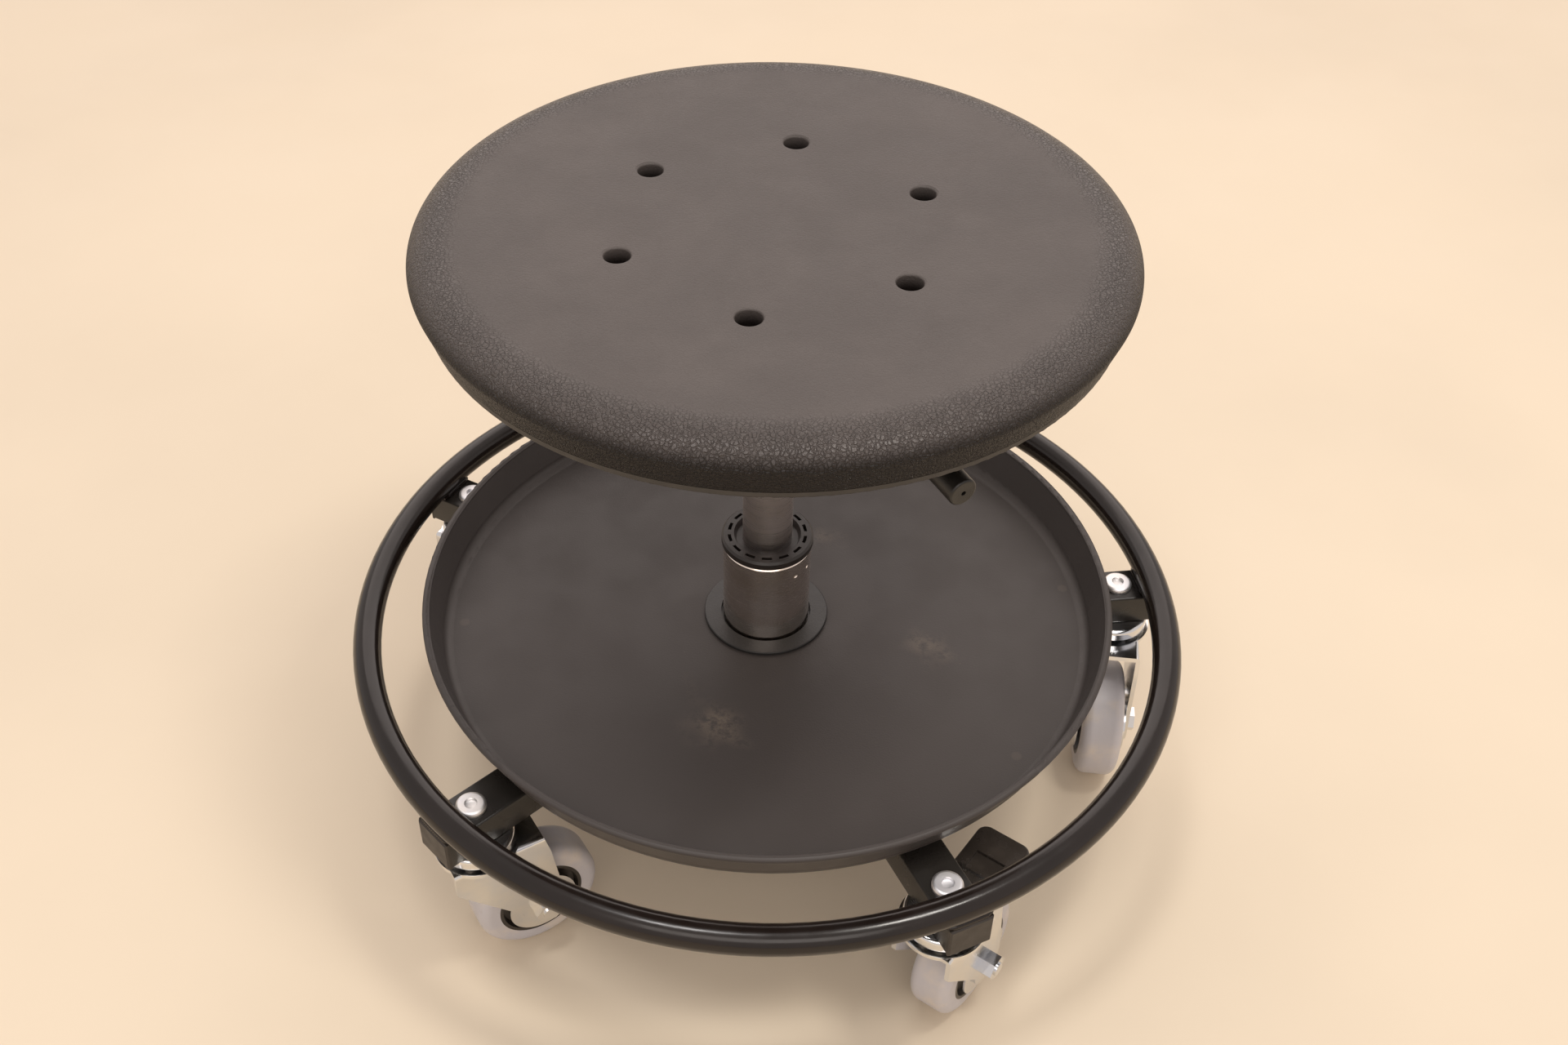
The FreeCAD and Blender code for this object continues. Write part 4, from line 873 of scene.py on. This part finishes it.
@dataclass
class Arm:
    """One box-section arm with the rolled edges of drawn tube."""

    finishes: Finishes
    index: int
    width: float = 0.025
    inner_radius: float = 0.0285
    outer_radius: float = 0.236
    edge: float = 0.0015

    def build(self) -> bpy.types.Object:
        """Return the arm, in the place of its CAD node."""
        node = "base_arm_%d" % self.index
        low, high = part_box(node)
        shape = bmesh.new()
        length = self.outer_radius - self.inner_radius
        middle = Vector(((self.outer_radius + self.inner_radius) / 2, 0.0, (low.z + high.z) / 2))
        size = Matrix.Diagonal((length, self.width, high.z - low.z, 1.0))
        bmesh.ops.create_cube(shape, size=1.0, matrix=Matrix.Translation(middle) @ size)
        long_edges = [e for e in shape.edges if abs(e.verts[0].co.x - e.verts[1].co.x) > length / 2]
        bmesh.ops.bevel(
            shape, geom=long_edges, offset=self.edge, affect="EDGES", segments=4, profile=0.5, material=-1
        )
        turn = Matrix.Rotation(math.radians(azimuth_of(node)), 3, "Z")
        bmesh.ops.rotate(shape, verts=shape.verts, matrix=turn, cent=(0, 0, 0))
        piece = finished(shape, "box_arm_%d" % self.index, self.finishes.arms, 50.0)
        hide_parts(node)
        return ride(piece, Body.BASE)


@dataclass
class CastorBolts:
    """The low, wide button heads that hold the castors, with their shanks."""

    finishes: Finishes
    head_radius: float = 0.0083
    edge: float = 0.0020
    socket_radius: float = 0.0031
    socket_depth: float = 0.0018
    socket_lip: float = 0.0004
    socket_point: float = 0.0006
    shank_radius: float = 0.004
    circle: float = 0.213
    steps: int = 48

    def outline(self) -> Section:
        """Return half of one bolt's cross-section."""
        low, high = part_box("castor_bolts")
        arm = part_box("base_arm_1")[1].z
        points = [(0.0, low.z), (self.shank_radius, low.z), (self.shank_radius, arm)]
        points += [(self.head_radius - 0.0002, arm), (self.head_radius, arm + 0.0002)]
        corner = (self.head_radius - self.edge, high.z - self.edge)
        points += Arc(corner, (self.edge,) * 2, 0, 90, 8).points()
        lip = self.socket_radius + self.socket_lip
        floor = high.z - self.socket_depth
        points += [(lip, high.z - 0.0001), (self.socket_radius, high.z - 0.0005)]
        points += [(self.socket_radius, floor), (0.0, floor - self.socket_point)]
        return Section(points)

    def build(self) -> bpy.types.Object:
        """Return the five bolts, in the place of their CAD node."""
        whole = bmesh.new()
        for index in CASTORS:
            one = self.outline().turned(self.steps)
            place = polar(self.circle, azimuth_of("base_arm_%d" % index))
            bmesh.ops.translate(one, verts=one.verts, vec=place)
            add(whole, one)
        piece = finished(whole, "button_head_bolts", self.finishes.fastener, 40.0)
        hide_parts("castor_bolts")
        return ride(piece, Body.BASE)


@dataclass
class Base:
    """Hub, arms, end caps, foot ring and tray, with their welds."""

    finishes: Finishes
    ring_tube: float = 0.016
    saddle_offset: float = 0.0050
    saddle_lift: float = 0.0009
    saddle_span_deg: float = 6.2

    def dress(self) -> None:
        """Finish the base's CAD nodes."""
        dress(self.finishes.arms, "base_hub")
        dress(self.finishes.cap, "arm_end_caps")
        dress(self.finishes.ring, "foot_ring")
        dress(self.finishes.tray, "tool_tray")
        dress(self.finishes.mount, "tray_centre_ring")
        dress(self.finishes.fastener, "castor_nuts")
        dress(self.finishes.zinc, "castor_caps")
        dress(self.finishes.inner, "castor_balls")

    def build_saddle_welds(self) -> bpy.types.Object:
        """Return the welds between the foot ring and the arms."""
        low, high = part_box("foot_ring")
        radius = (high.x - low.x) / 2 - self.ring_tube / 2
        whole = bmesh.new()
        for index in CASTORS:
            azimuth = azimuth_of("base_arm_%d" % index)
            for side in (-1, 1):
                at_radius = radius + side * self.saddle_offset
                centre = polar(at_radius, azimuth, low.z + self.saddle_lift)
                add(whole, WeldBead().arc(centre, at_radius, self.saddle_span_deg))
        piece = finished(whole, "ring_saddle_welds", self.finishes.ring, 60.0)
        return ride(piece, Body.BASE)


@dataclass
class HubWelds:
    """The fillets that join hub, column and arms underneath."""

    finishes: Finishes
    column_radius: float = 0.0258
    hub_radius: float = 0.0308
    column_span_deg: float = 356.0
    arm_span_deg: float = 44.0
    arm_drop: float = 0.0006

    def build(self) -> bpy.types.Object:
        """Return the fillets as one piece."""
        hub_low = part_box("base_hub")[0]
        arm_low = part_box("base_arm_1")[0]
        whole = bmesh.new()
        centre = polar(self.column_radius, 0.0, hub_low.z)
        add(whole, WeldBead().arc(centre, self.column_radius, self.column_span_deg))
        for index in CASTORS:
            azimuth = azimuth_of("base_arm_%d" % index)
            centre = polar(self.hub_radius, azimuth, arm_low.z - self.arm_drop)
            add(whole, WeldBead().arc(centre, self.hub_radius, self.arm_span_deg))
        piece = finished(whole, "hub_welds", self.finishes.arms, 60.0)
        return ride(piece, Body.BASE)


# ---- Castors ---------------------------------------------------------------
@dataclass
class Castor:
    """One swivel castor."""

    finishes: Finishes
    index: int

    def dress(self) -> None:
        """Finish the castor's CAD nodes."""
        name = "castor_%d_" % self.index
        dress(self.finishes.zinc, name + "fork")
        dress(self.finishes.zinc, name + "axle_set")
        dress(self.finishes.tyre, name + "tyre")
        dress(self.finishes.core, name + "wheel_core")


@dataclass
class Brake:
    """The pedal, lever and pin on the braked castor."""

    finishes: Finishes

    def dress(self) -> None:
        """Finish the brake's CAD nodes."""
        dress(self.finishes.zinc, "brake_lever")
        dress(self.finishes.fastener, "brake_pin")
        dress(self.finishes.pedal, "brake_pedal")


# ---- Studio ----------------------------------------------------------------
@dataclass(frozen=True)
class Lamp:
    """A soft rectangular light that faces the stool."""

    name: str
    place: Colour
    size: tuple[float, float]
    watts: float
    colour: Colour = (1.0, 0.95, 0.88)


@dataclass
class Studio:
    """Floor, lights and camera."""

    floor_colour: Colour = (0.72, 0.615, 0.475)
    floor_radius: float = 6.0
    lamp_aim: Colour = (0.0, 0.0, 0.2)
    sky: Colour = (1.0, 0.91, 0.86)
    sky_strength: float = 0.76
    lamps: tuple[Lamp, ...] = (
        Lamp("left_lamp", (-0.35, -0.30, 2.3), (0.28, 0.45), 9.5, (1.0, 0.97, 0.95)),
        Lamp("right_lamp", (0.75, -0.25, 2.3), (0.34, 0.50), 15.0),
        Lamp("front_fill", (0.0, -1.9, 1.9), (2.2, 1.0), 15.0, (1.0, 0.92, 0.86)),
        Lamp("back_wall", (0.0, 2.6, 1.9), (4.0, 2.2), 33.0, (1.0, 0.88, 0.83)),
    )
    camera_place: Colour = (0.0, -0.70014, 0.82354)
    camera_tilt_deg: float = 41.276
    camera_turn_deg: float = 1.776
    camera_roll_deg: float = 0.080
    camera_lens: float = 38.464
    camera_shift: tuple[float, float] = (0.0350, -0.01325)

    def build_floor(self) -> None:
        """Lay a plain pale floor."""
        shape = bmesh.new()
        bmesh.ops.create_circle(shape, cap_ends=True, segments=96, radius=self.floor_radius)
        s = Shader("floor_paint", Specular_IOR_Level=0.3)
        darker = tuple(0.94 * c for c in self.floor_colour)
        cloud = s.span(s.noise(2.2, 5.0), 0.35, 0.7)
        s.surface_from("Base Color", s.blend(cloud, self.floor_colour, darker))
        s.surface_from("Roughness", s.span(s.noise(8.0, 3.0), 0.3, 0.7, 0.55, 0.7))
        floor = finished(shape, "floor", s.material)

    def build_lights(self) -> None:
        """Hang the lamps, set the surrounding light and keep colours plain."""
        bpy.context.scene.view_settings.view_transform = "Standard"
        world = bpy.data.worlds.new("surround")
        bpy.context.scene.world = world
        world.use_nodes = True
        background = world.node_tree.nodes["Background"]
        background.inputs["Color"].default_value = (*self.sky, 1.0)
        background.inputs["Strength"].default_value = self.sky_strength
        for lamp in self.lamps:
            light = bpy.data.lights.new(lamp.name, "AREA")
            light.shape = "RECTANGLE"
            light.size, light.size_y = lamp.size
            light.energy = lamp.watts
            light.color = lamp.colour
            holder = bpy.data.objects.new(lamp.name, light)
            holder.location = lamp.place
            aim = Vector(self.lamp_aim) - Vector(lamp.place)
            holder.rotation_euler = aim.to_track_quat("-Z", "Y").to_euler()
            bpy.context.scene.collection.objects.link(holder)

    def build_camera(self) -> None:
        """Stand the camera in front of the stool, looking down at it."""
        camera = bpy.data.cameras.new("camera")
        camera.lens = self.camera_lens
        camera.sensor_width = 36.0
        camera.shift_x, camera.shift_y = self.camera_shift
        camera.clip_start = 0.05
        holder = bpy.data.objects.new("camera", camera)
        turn = Matrix.Rotation(math.radians(self.camera_turn_deg), 4, "Z")
        tilt = Matrix.Rotation(math.radians(90 - self.camera_tilt_deg), 4, "X")
        roll = Matrix.Rotation(math.radians(self.camera_roll_deg), 4, "Z")
        holder.matrix_world = Matrix.Translation(self.camera_place) @ turn @ tilt @ roll
        bpy.context.scene.collection.objects.link(holder)
        bpy.context.scene.camera = holder


def main() -> None:
    """Build and dress the stool in its studio."""
    logging.basicConfig(level=logging.INFO, format="%(message)s")
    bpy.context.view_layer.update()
    finishes = Finishes()
    LOG.info("finishes made")
    pad = SeatPad(finishes).build()
    LOG.info("%s: %d faces", pad.name, len(pad.data.polygons))
    SeatMount(finishes).dress()
    Column(finishes).dress()
    base = Base(finishes)
    base.dress()
    LOG.info("%s built", base.build_saddle_welds().name)
    LOG.info("%s built", HubWelds(finishes).build().name)
    LOG.info("%s built", CastorBolts(finishes).build().name)
    for index in CASTORS:
        LOG.info("%s built", Arm(finishes, index).build().name)
    for index in CASTORS:
        Castor(finishes, index).dress()
    Brake(finishes).dress()
    studio = Studio()
    studio.build_floor()
    studio.build_lights()
    studio.build_camera()
    LOG.info("sizes written")


if __name__ == "__main__":
    main()
